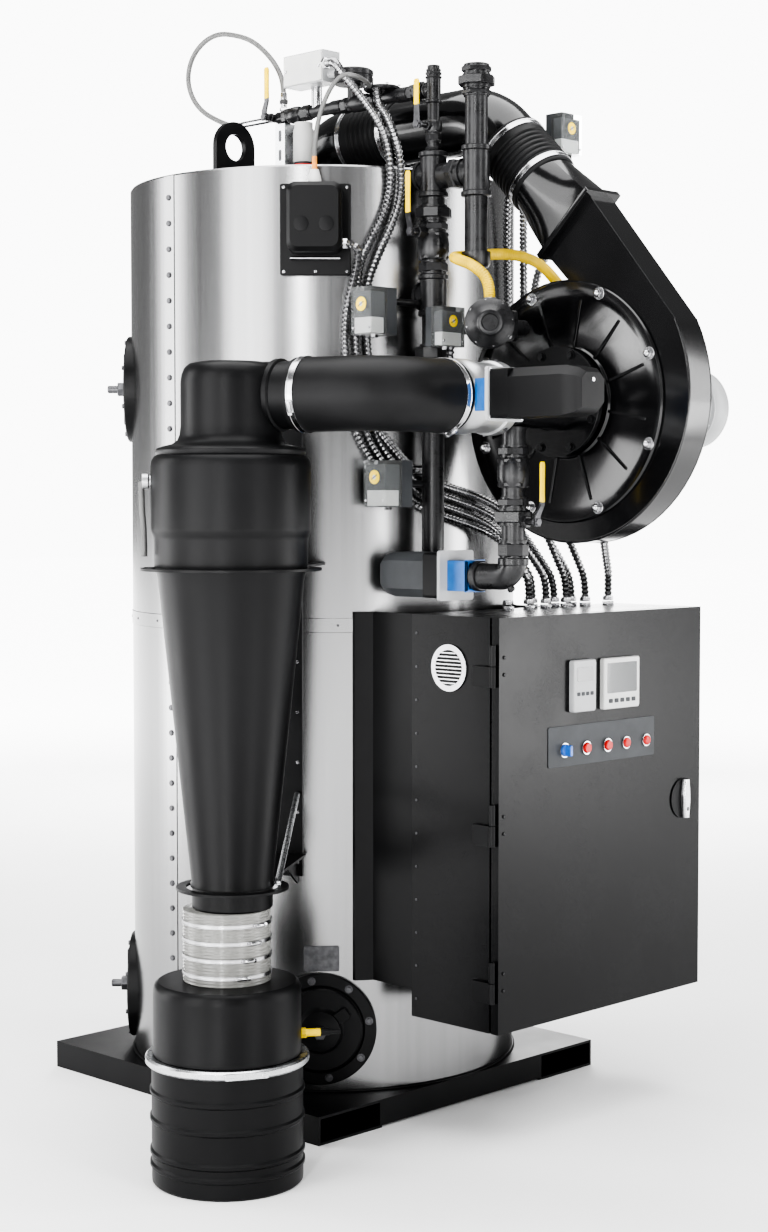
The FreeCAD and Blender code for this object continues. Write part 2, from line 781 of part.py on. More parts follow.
RISER = [("cap", 42), ("pipe", 450), ("union", 40), ("pipe", 60), ("rim", 12), ("tee", 66), ("rim", 12), ("hex", 30),
         ("valve", 60), ("hex", 24), ("union", 34), ("pipe", 16), ("rim", 12), ("tee", 74), ("rim", 12)]
SMALL_RISER = [("hex", 12), ("pipe", 8), ("hex", 20), ("valve", 27), ("pipe", 36), ("rim", 9), ("tee", 44),
               ("rim", 6), ("hex", 10), ("reducer", 12)]
SIDE_STACK = [("cap", 36), ("pipe", 116), ("rim", 12), ("tee", 84), ("rim", 12), ("pipe", 102), ("hex", 17),
              ("union", 30), ("hex", 20)]
TOP_LINE = [("pipe", 10), ("union", 26), ("hex", 20), ("reducer", 100), ("hex", 22), ("valve", 60), ("hex", 24),
            ("reducer", 98), ("hex", 36), ("valve", 40), ("hex", 20), ("pipe", 16)]
DROP_LINE = [("hex", 40), ("pipe", 30), ("union", 36), ("hex", 24), ("pipe", 18), ("valve", 62), ("hex", 26),
             ("pipe", 30)]

# each lever: its grip's length, its crank's shift, and how far its boss stands out of the pipe's axis
LEVERS = {
    "valve_lever_riser": (130, 6, 64),
    "valve_lever_pilot": (96, 0, 44),
    "valve_lever_top": (112, -8, 28),
    "valve_lever_drop": (124, 14, 56),
}
LEVER_RISES = {"valve_lever_riser": -151, "valve_lever_pilot": 79, "valve_lever_drop": 114}
TOP_LEVER_RUN = 499
ELBOW_REACH = 104
ELBOW_SOCKET = 38


def pipe_run(fittings, pipe, at, axis=Z):
    """A run of fittings, each a (kind, length) pair, as one turned piece."""
    return turned(stepped([(length, pipe * FITTING[kind]) for kind, length in fittings]), at, axis)


def run_length(fittings):
    """The length of a run of fittings."""
    return sum(length for kind, length in fittings)


def along_line(run, side=0, rise=0):
    """A point beside the line over the top, by its distance along the line from the riser's axis."""
    return (d["train_x"] + side, d["riser_y"] + run, d["top_line_level"] + rise)


def lever_at(name):
    """Where a lever's stem crosses its pipe's axis."""
    if name == "valve_lever_top":
        return along_line(TOP_LEVER_RUN)
    if name == "valve_lever_drop":
        return (d["gas_inlet_x"], d["intake_y"], d["gas_elbow_level"] + LEVER_RISES[name])
    return (d["train_x"], d["riser_y"], d["crown"] + LEVER_RISES[name])


def boss(name, radius, start, axis):
    """The valve's boss that carries a lever, from inside the valve out to the lever."""
    at = [spot + start * way for spot, way in zip(lever_at(name), axis)]
    return rod(radius, LEVERS[name][2] - start, at, axis)


def make_gas_train():
    """The two stacks, the line over the top and the drop line, with the bosses for the levers."""
    x = d["train_x"]
    y = d["riser_y"]
    pipe = d["pipe_radius"]
    small = d["small_pipe_radius"]
    riser_top = d["crown"] + d["riser_rise"]
    riser = pipe_run(RISER, pipe, (x, y, riser_top - run_length(RISER)))
    small_riser = pipe_run(SMALL_RISER, small, (x, y, riser_top))
    boss_low = boss("valve_lever_riser", 7, 30, MINUS_X)
    boss_high = boss("valve_lever_pilot", 6, 10, MINUS_X)
    sub_part("gas_riser", fuse(riser, small_riser, boss_low, boss_high))
    side_y = d["side_stack_y"]
    side = pipe_run(SIDE_STACK, pipe, (x, side_y, d["crown"] - d["stack_drop"]))
    branch = rod(pipe * 1.15, y - side_y - pipe, (x, side_y, d["branch_level"]), Y)
    riser_tee = rod(pipe * FITTING["tee"], 200, (x, y, d["branch_level"] - 100))
    sub_part("gas_side_stack", fuse(side, cut(branch, riser_tee)))
    line_start = small * FITTING["tee"]
    line = pipe_run(TOP_LINE, small, (x, y + line_start, d["top_line_level"]), Y)
    line_boss = boss("valve_lever_top", 6, 8, MINUS_X)
    line_pieces = [line, line_boss]
    for run, disc_radius, disc_rise, disc_height in ((244, 44, 42, 34), (154, 42, 16, 10)):
        line_pieces.append(rod(disc_radius, disc_height, along_line(run, 0, disc_rise)))
        line_pieces.append(rod(16, disc_rise + 4, along_line(run)))
    loop_rise = LOOP_OFFSETS[0][2]
    line_pieces.append(rod(8, loop_rise, along_line(LOOP_OFFSETS[0][1])))
    line_end = line_start + run_length(TOP_LINE)
    line_pieces.append(rod(8, LOOP_OFFSETS[-1][1] - line_end, (x, y + line_end, d["top_line_level"]), Y))
    sub_part("gas_top_line", fuse(*line_pieces))
    make_drop_line()


def make_drop_line():
    """The line from the gas elbow up into the intake neck."""
    x = d["gas_inlet_x"]
    y = d["intake_y"]
    pipe = d["pipe_radius"]
    level = d["gas_elbow_level"]
    run_base = level + ELBOW_SOCKET - 2
    run = pipe_run(DROP_LINE, pipe, (x, y, run_base))
    run_end = run_base + run_length(DROP_LINE)
    top = rod(pipe * 1.1, d["intake_level"] - run_end, (x, y, run_end))
    elbow = [(x.value, y.value, level.value + ELBOW_SOCKET), (x.value, y.value, level.value),
             (x.value, y.value + ELBOW_REACH, level.value)]
    bend = fixed_shape(swept(elbow, pipe.value * 1.15, 34, name="gas_elbow"))
    lever_boss = boss("valve_lever_drop", 7, 30, MINUS_Y)
    neck = rod(d["neck_radius"], 200, (x - 100, y, d["intake_level"]), X)
    sub_part("gas_drop_line", cut(fuse(run, top, bend, lever_boss), neck))


def lever(at, axis, turn, grip_length, shift):
    """A quarter-turn lever: a hub on its stem and a flat cranked handle."""
    hub = rod(9, 14, at, axis)
    outline = [(-7, -9), (7, -9), (7, 12), (shift + 7, 34), (shift + 7, grip_length),
               (shift - 7, grip_length), (shift - 7, 36), (-7, 14)]
    foot = tuple(as_size(one) + 6 * way for one, way in zip(at, axis))
    return fuse(hub, padded(outline, 6, foot, axis, turn))


def make_levers():
    """Four quarter-turn levers, each clear of the end of its boss."""
    for name, (grip_length, shift, boss_end) in LEVERS.items():
        axis, turn = (MINUS_Y, 0) if name == "valve_lever_drop" else (MINUS_X, -90)
        reach = boss_end + d["pin_clearance"]
        at = [spot + reach * way for spot, way in zip(lever_at(name), axis)]
        sub_part(name, lever(at, axis, turn, grip_length, shift))


# the diaphragm regulator, between the intake and the side stack
REGULATOR_SPREAD = 92
REGULATOR_RISE = 159
# the pressure switches, by their low corner's x, reach in front of the riser and rise over the air intake, and size
SWITCH_A = ((-226, -97, 119), (70, 48, 84))
SWITCH_B = ((-330, 11, 145), (78, 60, 100))
SWITCH_C = ((-300, -1, -221), (84, 64, 100))
SWITCH_D = ((150, -109, 566), (70, 46, 88))
DUCT_TAP_RISE = 575


def switch_box(corner, size):
    """A pressure switch's case."""
    x, reach, rise = corner
    return box((x, d["riser_y"] + reach, d["intake_level"] + rise), size)


def make_instruments():
    """The diaphragm regulator, the pressure switches, the junction box and the strut post."""
    x = d["train_x"]
    y = d["intake_y"] + REGULATOR_SPREAD
    level = d["intake_level"] + REGULATOR_RISE
    riser_y = d["riser_y"]
    pipe = d["pipe_radius"]
    body = turned(stepped([(16, 30), (12, 52), (12, 52), (22, 26)]), (-196, y - 10, level), (-0.714, -0.700, 0))
    stub = rod(17, 132, (-204, y, level), X)
    flange = box((-140, y - 32, level - 32), (12, 64, 64))
    supply = rod(11, riser_y - y, (x + 12, y, level), Y)
    riser_pipe = rod(pipe, 100, (x, riser_y, level - 50))
    hose_boss = rod(13, 58, (-182, y, level))
    sub_part("regulator", fuse(body, stub, flange, cut(supply, riser_pipe), hose_boss))
    intake = d["intake_level"]
    stem_a = rod(8, 60, (x - 15, riser_y - 61, intake + 161), Y)
    stem_b = rod(8, 110, (-256, riser_y + 19, intake + 217), X)
    stem_c = rod(8, 70, (-220, riser_y + 11, intake - 171), X)
    stem_d = rod(8, 54, (200, riser_y - 86, intake + SWITCH_D[0][2] - 50))
    duct_tap = rod(8, 82, (d["duct_radius"], riser_y - 86, intake + DUCT_TAP_RISE), X)
    tee = rod(pipe * FITTING["tee"], 120, (x, riser_y, intake + 205))
    cases = [
        fuse(switch_box(*SWITCH_A), cut(stem_a, rod(pipe, 60, (x, riser_y, intake + 131)))),
        fuse(switch_box(*SWITCH_B), cut(stem_b, tee)),
        fuse(switch_box(*SWITCH_C), cut(stem_c, rod(pipe, 100, (x, riser_y, intake - 221)))),
        fuse(switch_box(*SWITCH_D), stem_d, duct_tap),
    ]
    sub_part("pressure_switches", group(*cases))
    junction = box(along_line(299, -46, 54), (56, 128, 70))
    junction_stem = rod(12, 70, along_line(363))
    small = d["small_pipe_radius"]
    line_clear = rod(small * FITTING["reducer"], 60, along_line(333), Y)
    sub_part("junction_box", fuse(junction, cut(junction_stem, line_clear)))
    base = d["crown"]
    post_top = d["top_line_level"] - small * FITTING["hex"]
    post = box(along_line(453, -16, base - d["top_line_level"]), (32, 32, post_top - base))
    slot = box(along_line(458, -11, base + 4 - d["top_line_level"]), (40, 22, 400))
    gauge_top = d["top_line_level"] - small * FITTING["valve"]
    gauge_pipe = rod(24, gauge_top - base, along_line(407, 0, base - d["top_line_level"]))
    sub_part("strut_post", group(cut(post, slot), gauge_pipe))


# the free instrument loop, by side, run and rise from the line over the top, from one fitting to the other
LOOP_OFFSETS = [
    (0, 473, 36), (0, 473, 76), (0, 495, 118), (-1, 531, 156), (-2, 581, 192), (-4, 637, 212), (-6, 695, 224),
    (-7, 749, 212), (-6, 793, 180), (-4, 811, 134), (-2, 797, 88), (-1, 761, 50), (0, 707, 22), (0, 649, 0),
    (0, 599, 0)]

# the impulse hose from the regulator up behind the stack's cap and round to the blower's far side,
# by x, reach from the intake's axis and rise over it
IMPULSE_OFFSETS = [(-182, 92, 217), (-182, 92, 252), (-202, 118, 284), (-198, 172, 302), (-166, 209, 312),
                   (-108, 213, 318), (-44, 208, 328), (28, 198, 332), (82, 180, 317), (104, 150, 277),
                   (100, 116, 237), (76, 92, 207), (39, 92, 207)]

# the conduits beside the shell: each point's x, its clearance from the shell's face, and its share of the
# height between the cabinet's top and the shell's top; each ends on the cabinet at its own x and row
FRONT_ROW = 45
BACK_ROW = 15
GLANDS = [(29, FRONT_ROW), (100, FRONT_ROW), (146, BACK_ROW), (159, FRONT_ROW), (223, BACK_ROW), (230, FRONT_ROW),
          (285, BACK_ROW), (299, FRONT_ROW), (384, FRONT_ROW)]
CONDUITS = [
    (1, [(-287, 43.8, 0.7819), (-286, 30.2, 0.7364), (-290, 16.7, 0.6786), (-292, 14.0, 0.6186),
         (-288, 13.9, 0.5545), (-280, 14.6, 0.4770), (-272, 13.1, 0.3995), (-234, 13.6, 0.3271),
         (-183, 13.2, 0.2693), (-124, 13.7, 0.2300), (-60, 13.9, 0.2114), (10, 19.1, 0.1928),
         (60, 35.7, 0.1721), (90, 64.8, 0.1370), (102, 98.5, 0.0853)]),
    (2, [(-215, -114.5, 1.2481), (-224, -80.6, 1.2119), (-217, -46.6, 1.1602), (-218, 0.5, 1.1003),
         (-215, 20.4, 1.0403), (-206, 17.3, 0.9886), (-205, 14.2, 0.9421), (-216, 12.8, 0.8935),
         (-240, 13.2, 0.8388), (-262, 13.2, 0.7840), (-268, 13.3, 0.7354), (-271, 13.4, 0.6765),
         (-272, 13.1, 0.6186), (-268, 13.3, 0.5597), (-261, 13.4, 0.4822), (-254, 12.9, 0.4047),
         (-222, 13.0, 0.3406), (-178, 13.2, 0.2920), (-124, 13.7, 0.2527), (-60, 13.9, 0.2341),
         (15, 18.2, 0.2134), (75, 30.8, 0.1886), (108, 50.7, 0.1432), (140, 79.7, 0.0915)]),
    (3, [(-190, -12.2, 1.1127), (-196, 23.0, 1.0424), (-190, 25.2, 0.9917), (-192, 27.8, 0.9328),
         (-205, 30.4, 0.8873), (-226, 29.0, 0.8326), (-242, 22.0, 0.7767), (-250, 13.3, 0.7323),
         (-252, 13.5, 0.6786), (-251, 13.8, 0.6186), (-247, 13.4, 0.5545), (-241, 13.7, 0.4822),
         (-235, 13.2, 0.4047), (-208, 13.7, 0.3509), (-172, 13.7, 0.3106), (-124, 13.7, 0.2755),
         (-58, 13.6, 0.2568), (20, 18.4, 0.2362), (88, 35.0, 0.2072), (130, 67.4, 0.1576),
         (153, 106.3, 0.0997)]),
    (4, [(-196, 140.2, 0.5421), (-236, 125.2, 0.5463), (-268, 109.7, 0.5628), (-290, 92.2, 0.5566),
         (-292, 73.1, 0.5183), (-272, 48.7, 0.4636), (-240, 32.2, 0.4078), (-200, 21.1, 0.3664),
         (-166, 15.3, 0.3313), (-122, 14.1, 0.2982), (-56, 14.4, 0.2796), (26, 19.7, 0.2610),
         (104, 33.2, 0.2300), (160, 57.6, 0.1783), (200, 91.9, 0.1121)]),
    (6, [(148, -56.5, 1.0765), (146, -5.6, 1.0610), (145, 29.2, 1.0093), (146, 20.0, 0.9576),
         (152, 14.3, 0.8646), (162, 12.9, 0.7385), (170, 13.9, 0.5959), (184, 14.6, 0.4512),
         (204, 28.2, 0.3168), (240, 69.2, 0.2031), (272, 117.7, 0.1163)]),
    (5, [(186, -58.6, 1.0920), (178, 10.4, 1.0713), (165, 54.5, 0.9990), (150, 64.1, 0.9132),
         (146, 65.9, 0.8336), (150, 65.1, 0.7426), (157, 63.3, 0.5959), (164, 62.7, 0.4512),
         (176, 69.4, 0.3168), (200, 94.7, 0.2031), (222, 128.9, 0.1101)]),
    (7, [(194, 143.3, 0.8904), (188, 116.8, 0.8336), (182, 88.4, 0.7871), (182, 76.2, 0.7302),
         (190, 78.0, 0.5959), (203, 81.9, 0.4512), (222, 95.7, 0.3168), (258, 125.5, 0.2031),
         (290, 161.5, 0.1101)]),
    (8, [(250, 241.4, 0.2961), (300, 221.2, 0.2134), (354, 219.4, 0.1307), (382, 224.5, 0.0791)]),
]


def conduit_starts():
    """Where each conduit leaves its box or connector, with the point that it makes for first."""
    line_x = d["train_x"].value
    riser_y = d["riser_y"].value
    line = d["top_line_level"].value
    crown = d["crown"].value
    intake_y = d["intake_y"].value
    intake = d["intake_level"].value
    probe_reach = d["shell_radius"] + d["cover_stand_off"] + d["probe_box_depth"] / 2
    probe = Vector(*[as_size(one).value for one in radial(PROBE_BEARING, probe_reach, d["probe_level"] - 35)])
    across = Vector(*outward(PROBE_BEARING + 90))
    probe_side = probe + across * (d["probe_box_width"].value / 2 + d["pin_clearance"].value)
    terminals_x = d["scroll_width"].value / 2 + TERMINALS_X + TERMINALS_SIZE[0] / 2
    terminals_y = intake_y + d["motor_radius"].value - 6 + TERMINALS_SIZE[1] / 2
    return [
        [probe_side, probe_side + across * 34],
        [(line_x - 36, riser_y + 299, line + 93), (line_x - 36, riser_y + 277, line + 93)],
        [(line_x - 34, riser_y + 139, line + 16), (line_x - 34, riser_y + 139, line - 14)],
        [(-175, riser_y - 73, intake + 119), (-175, riser_y - 73, intake + 90)],
        [(150, riser_y + 199, crown), (150, riser_y + 199, crown + 48)],
        [(190, riser_y + 239, crown), (190, riser_y + 239, crown + 62)],
        [(200, riser_y - 86, intake + SWITCH_D[0][2] - 50), (200, riser_y - 86, intake + 472)],
        [(terminals_x, terminals_y, intake - 33), (terminals_x, terminals_y, intake - 83)],
    ]


def conduit_route(start, points, gland):
    """The whole route of one conduit."""
    radius = d["shell_radius"].value
    top = d["cabinet_top"].value
    height = d["crown"].value - top
    route = [Vector(*spot) for spot in start]
    for x, clearance, share in points:
        route.append(Vector(x, -math.sqrt((radius + clearance) ** 2 - x ** 2), top + share * height))
    x, row = gland
    row_y = d["cabinet_front"].value + d["cabinet_depth"].value - row
    end = Vector(x, row_y, top + d["gland_height"].value)
    return route + [end + Vector(0, 0, 40), end]


def make_flexible_lines():
    """Conduits on the shell with their glands, the impulse hose and the free loop over the top."""
    tubes = []
    for number, (start, (gland, points)) in enumerate(zip(conduit_starts(), CONDUITS)):
        route = conduit_route(start, points, GLANDS[gland])
        tubes.append(swept(route, d["conduit_radius"].value, name="conduit_%d" % number))
    sub_part("conduits", fixed_shape(Part.makeCompound(tubes)))
    back = d["cabinet_front"] + d["cabinet_depth"]
    glands = [rod(d["gland_radius"], d["gland_height"], (x, back - row, d["cabinet_top"])) for x, row in GLANDS]
    sub_part("conduit_glands", group(*glands))
    impulse = [Vector(x, d["intake_y"].value + reach, d["intake_level"].value + rise)
               for x, reach, rise in IMPULSE_OFFSETS]
    sub_part("impulse_hose", fixed_shape(swept(impulse, d["impulse_radius"].value, name="impulse_hose")))
    loop = [[as_size(part).value for part in along_line(run, side, rise)] for side, run, rise in LOOP_OFFSETS]
    sub_part("instrument_loop", fixed_shape(swept(loop, d["loop_radius"].value, name="instrument_loop")))


HINGE_LEVELS = (110, 440, 772)
# places on the door, from its left edge and its base
BUTTON_X = (282, 355)
LAMP_X = (422, 494)
SELECTOR_X = 211
CONTROL_LEVEL = 581
PANEL = ((157, 546), (369, 87))
METER = ((228, 661), (75, 112), 14)
DISPLAY = ((333, 660), (126, 112), 12)
HANDLE_INSET = 64
HANDLE_LEVEL = 436


def on_door(across, up, stand_off=0):
    """A point on the door's face, from its left edge and base, that far in front of it."""
    face = d["cabinet_front"] - d["door_gap"] - d["door_depth"]
    return (d["cabinet_left"] + across, face - stand_off, d["cabinet_base"] + up)


def make_cabinet():
    """The control cabinet: hollow box, the gear plate in it, its brackets and its hinges."""
    left = d["cabinet_left"]
    base = d["cabinet_base"]
    width = d["cabinet_width"]
    height = d["cabinet_height"]
    depth = d["cabinet_depth"]
    front = d["cabinet_front"]
    wall = d["cabinet_wall"]
    shell = box((left, front, base), (width, depth, height))
    room = box((left + wall, front, base + wall), (width - wall * 2, depth - wall, height - wall * 2))
    sub_part("cabinet_box", cut(shell, room))
    back = front + depth
    plate = box((left + 30, back - wall - 18, base + 30), (width - 60, 3, height - 60))
    foot = box((left + 60, back - wall - 15, base + 60), (width - 120, 15, 30))
    sub_part("gear_plate", fuse(plate, foot))
    reach = back * -1
    web_thickness = 6
    band_width = 34
    channels = []
    for side in (left, -left - web_thickness):
        web = cut(box((side, back, base + 60), (web_thickness, reach, height - 60)), shell_core())
        start = side - band_width if side.value < 0 else side
        sleeve = ring(d["shell_radius"] + 6, d["shell_radius"], height - 60, (0, 0, base + 60))
        band = common(sleeve, box((start, back, base + 60), (band_width + web_thickness, reach, height - 60)))
        channels.append(fuse(web, band))
    far = d["shell_radius"] + 10
    trimmed = [common(channel, box((-far, back, base), (far * 2, reach - 200, height))) for channel in channels]
    sub_part("cabinet_channels", group(*trimmed))
    make_hinges(left - d["hinge_radius"] - d["hinge_gap"], front - d["door_gap"] - d["door_depth"] / 2, base)


def make_hinges(x, y, base):
    """Three hinges: a fixed knuckle and leaf on the box, a turning knuckle on the door."""
    length = d["hinge_length"]
    radius = d["hinge_radius"]
    half = length / 2 - 1
    leaf_thickness = 3
    fixed = []
    for level in HINGE_LEVELS:
        foot = base + level - length / 2
        knuckle = rod(radius, half, (x, y, foot))
        leaf = box((x - leaf_thickness / 2, y, foot), (leaf_thickness, d["cabinet_front"] + 40 - y, half))
        tie_size = (radius + d["hinge_gap"] + leaf_thickness / 2, 30, half)
        tie = box((x - leaf_thickness / 2, d["cabinet_front"] + 10, foot), tie_size)
        pin = rod(3, length - 8, (x, y, foot))
        fixed.append(fuse(knuckle, leaf, tie, pin))
    sub_part("hinge_leaves", group(*fixed))
    make_door(x, y, base)


def make_door(x, y, base):
    """The door: a shallow pan with its turning knuckles and the holes for its controls."""
    wall = d["cabinet_wall"]
    width = d["cabinet_width"]
    height = d["cabinet_height"]
    radius = d["hinge_radius"]
    pan = box(on_door(0, 0), (width, d["door_depth"], height))
    hollow = box(on_door(wall, wall, -wall), (width - wall * 2, d["door_depth"], height - wall * 2))
    knuckles = []
    for level in HINGE_LEVELS:
        foot = base + level + 1
        half = d["hinge_length"] / 2 - 1
        knuckle = rod(radius, half, (x, y, foot))
        tie = box((x, y - 1.5, foot), (radius + d["hinge_gap"] + 2, 3, half))
        bore = rod(3 + d["pin_clearance"], d["hinge_length"], (x, y, foot - 1))
        knuckles.append(cut(fuse(knuckle, tie), bore))
    handle_x = width - HANDLE_INSET
    button_hole = d["button_radius"] + 1.0
    controls = [(button_x, CONTROL_LEVEL, button_hole) for button_x in BUTTON_X]
    controls.append((SELECTOR_X, CONTROL_LEVEL, 7.4))
    holes = [rod(hole, 30, on_door(across, up, 8), Y) for across, up, hole in controls]
    holes.append(rod(8.4, 30, on_door(handle_x, HANDLE_LEVEL, 8), Y))
    sub_part("cabinet_door", cut(fuse(cut(pan, hollow), *knuckles), *holes))
    panel_at, panel_size = PANEL
    panel = box(on_door(*panel_at, 2), (panel_size[0], 2, panel_size[1]))
    panel_holes = [rod(hole, 30, on_door(across, up, 8), Y) for across, up, hole in controls]
    lamps = [rod(d["button_radius"], 9, on_door(lamp_x, CONTROL_LEVEL, 2), MINUS_Y) for lamp_x in LAMP_X]
    bezels = [ring(15, button_hole, 5, on_door(button_x, CONTROL_LEVEL, 2), MINUS_Y) for button_x in BUTTON_X]
    faces = []
    for at, size, depth in (METER, DISPLAY):
        faces.append(box(on_door(*at, depth), (size[0], depth, size[1])))
    handle_plate = ring(46, 9.4, 3, on_door(handle_x, HANDLE_LEVEL), MINUS_Y)
    sub_part("door_fittings", group(fuse(cut(panel, *panel_holes), *lamps, *bezels), *faces, handle_plate))
    for name, button_x in zip(("reset_button_left", "reset_button_right"), BUTTON_X):
        cap = rod(d["button_radius"], 16, on_door(button_x, CONTROL_LEVEL, 7 + d["button_stroke"]), Y)
        sub_part(name, cap)
    shaft = rod(7, 16, on_door(SELECTOR_X, CONTROL_LEVEL, 4), Y)
    collar = rod(13, 6, on_door(SELECTOR_X, CONTROL_LEVEL, 3), MINUS_Y)
    grip = box(on_door(SELECTOR_X - 4, CONTROL_LEVEL - 12, 22), (8, 14, 24))
    sub_part("selector_knob", fuse(shaft, collar, grip))
    handle_shaft = rod(8, 26, on_door(handle_x, HANDLE_LEVEL, 10), Y)
    outline = [(-13, -46), (13, -46), (16, 0), (13, 46), (-13, 46), (-16, 0)]
    handle_grip = padded(outline, 12, on_door(handle_x, HANDLE_LEVEL, 4), MINUS_Y)
    sub_part("door_handle", fuse(handle_shaft, handle_grip))


make_skid()
make_shell()
make_shell_covers()
make_cyclone()
make_cyclone_brackets()
make_drum()
make_intake()
make_blower()
make_gas_train()
make_levers()
make_instruments()
make_flexible_lines()
make_cabinet()
doc.recompute()


# ---------------------------------------------------------------- checks and files

def check_and_write():
    """Refuse a failed object or an unsound solid, then write each sub-part."""
    for item in doc.Objects:
        if "Invalid" in item.State or "Error" in item.State:
            raise ValueError("%s (%s) failed: %s" % (item.Name, item.Label, item.State))
    for name, item in parts.items():
        shape = item.Shape
        if shape.isNull() or not shape.isValid() or not shape.Solids:
            raise ValueError("sub-part %s has no sound solid" % name)
    os.makedirs("parts", exist_ok=True)
    for name, item in parts.items():
        item.Shape.exportStep(os.path.join("parts", name + ".step"))
    print("%d sub-parts written" % len(parts))


check_and_write()
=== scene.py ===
import json
import math

import bmesh
import bpy
from mathutils import Matrix, Vector


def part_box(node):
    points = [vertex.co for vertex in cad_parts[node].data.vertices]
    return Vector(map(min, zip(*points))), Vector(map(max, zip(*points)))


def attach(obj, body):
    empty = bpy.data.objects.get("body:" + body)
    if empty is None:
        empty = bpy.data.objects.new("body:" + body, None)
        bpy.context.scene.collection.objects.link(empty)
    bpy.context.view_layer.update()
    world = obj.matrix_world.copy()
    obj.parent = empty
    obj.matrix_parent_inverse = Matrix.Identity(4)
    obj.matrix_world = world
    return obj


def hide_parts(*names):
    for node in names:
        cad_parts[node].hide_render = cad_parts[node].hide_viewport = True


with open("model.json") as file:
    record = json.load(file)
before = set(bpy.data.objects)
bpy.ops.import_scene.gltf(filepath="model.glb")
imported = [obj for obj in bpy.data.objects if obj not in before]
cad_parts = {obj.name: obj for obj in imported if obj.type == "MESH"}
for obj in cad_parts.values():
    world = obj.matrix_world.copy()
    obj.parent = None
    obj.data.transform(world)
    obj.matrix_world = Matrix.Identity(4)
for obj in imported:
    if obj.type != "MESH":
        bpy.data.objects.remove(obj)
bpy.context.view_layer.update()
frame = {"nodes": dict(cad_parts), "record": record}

X = Vector((1, 0, 0))
Y = Vector((0, 1, 0))
Z = Vector((0, 0, 1))
MM = 0.001
ROOT = "boiler"


def span(node):
    """A CAD node's low and high corners, in millimetres."""
    low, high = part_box(node)
    return Vector(low) / MM, Vector(high) / MM


def centre(node):
    """The middle of a CAD node's box, in millimetres."""
    low, high = span(node)
    return (low + high) / 2


def joint_at(name):
    """A joint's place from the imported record, in millimetres."""
    for joint in frame["record"]["behaviour"]["joints"]:
        if joint["name"] == name:
            return Vector(joint["pos_m"]) / MM
    raise ValueError(name)


# ---------------------------------------------------------------- camera and the free cord

def make_camera():
    """The photograph's view: about 46 degrees round from the door, a little above level."""
    azimuth = math.radians(-45.5694)
    elevation = math.radians(3.0205)
    back = Vector((math.sin(azimuth) * math.cos(elevation), -math.cos(azimuth) * math.cos(elevation),
                   math.sin(elevation)))
    data = bpy.data.cameras.new("camera")
    data.lens = 61.70
    data.sensor_width = 36
    camera = bpy.data.objects.new("camera", data)
    camera.location = (-3.5072, -3.6408, 1.3575)
    camera.rotation_euler = (-back).to_track_quat("-Z", "Y").to_euler()
    bpy.context.collection.objects.link(camera)
    bpy.context.scene.camera = camera


LOOP_POINTS = [
    (-0.150, -0.026, 2.286), (-0.150, -0.026, 2.326), (-0.150, -0.004, 2.368), (-0.151, 0.032, 2.406),
    (-0.152, 0.082, 2.442), (-0.154, 0.138, 2.462), (-0.156, 0.196, 2.474), (-0.157, 0.250, 2.462),
    (-0.156, 0.294, 2.430), (-0.154, 0.312, 2.384), (-0.152, 0.298, 2.338), (-0.151, 0.262, 2.300),
    (-0.150, 0.208, 2.272), (-0.150, 0.150, 2.250), (-0.150, 0.100, 2.250)]


def nurbs(name, points, radius):
    """A smooth curve with these control points, in metres, and a round section."""
    curve = bpy.data.curves.new(name, "CURVE")
    curve.dimensions = "3D"
    curve.resolution_u = 10
    curve.bevel_depth = radius
    curve.bevel_resolution = 5
    curve.use_fill_caps = radius > 0
    spline = curve.splines.new("NURBS")
    spline.points.add(len(points) - 1)
    for point, place in zip(spline.points, points):
        point.co = (*place, 1)
    spline.order_u = 3
    spline.use_endpoint_u = True
    thing = bpy.data.objects.new(name, curve)
    bpy.context.collection.objects.link(thing)
    return thing


make_camera()
loop = nurbs("instrument_loop_hose", LOOP_POINTS, 0.0058)

# ---------------------------------------------------------------- materials

MATERIALS = {}


def noise(tree, coords, scale, stretch, detail=4.0):
    """A noise texture in the object's own metres, stretched along its axes."""
    mapping = tree.nodes.new("ShaderNodeMapping")
    mapping.inputs["Scale"].default_value = stretch
    texture = tree.nodes.new("ShaderNodeTexNoise")
    texture.inputs["Scale"].default_value = scale
    texture.inputs["Detail"].default_value = detail
    tree.links.new(coords.outputs["Object"], mapping.inputs["Vector"])
    tree.links.new(mapping.outputs["Vector"], texture.inputs["Vector"])
    return texture.outputs["Fac"]


def ramp(tree, factor, low, high, start=0.3, end=0.7):
    """Two colours mixed by a factor."""
    node = tree.nodes.new("ShaderNodeValToRGB")
    node.color_ramp.elements[0].position = start
    node.color_ramp.elements[0].color = (*low, 1)
    node.color_ramp.elements[1].position = end
    node.color_ramp.elements[1].color = (*high, 1)
    tree.links.new(factor, node.inputs["Fac"])
    return node.outputs["Color"]


def ranged(tree, factor, low, high):
    """A factor's middle range turned into a number between two limits."""
    node = tree.nodes.new("ShaderNodeMapRange")
    node.inputs["From Min"].default_value = 0.3
    node.inputs["From Max"].default_value = 0.7
    node.inputs["To Min"].default_value = low
    node.inputs["To Max"].default_value = high
    tree.links.new(factor, node.inputs["Value"])
    return node.outputs["Result"]


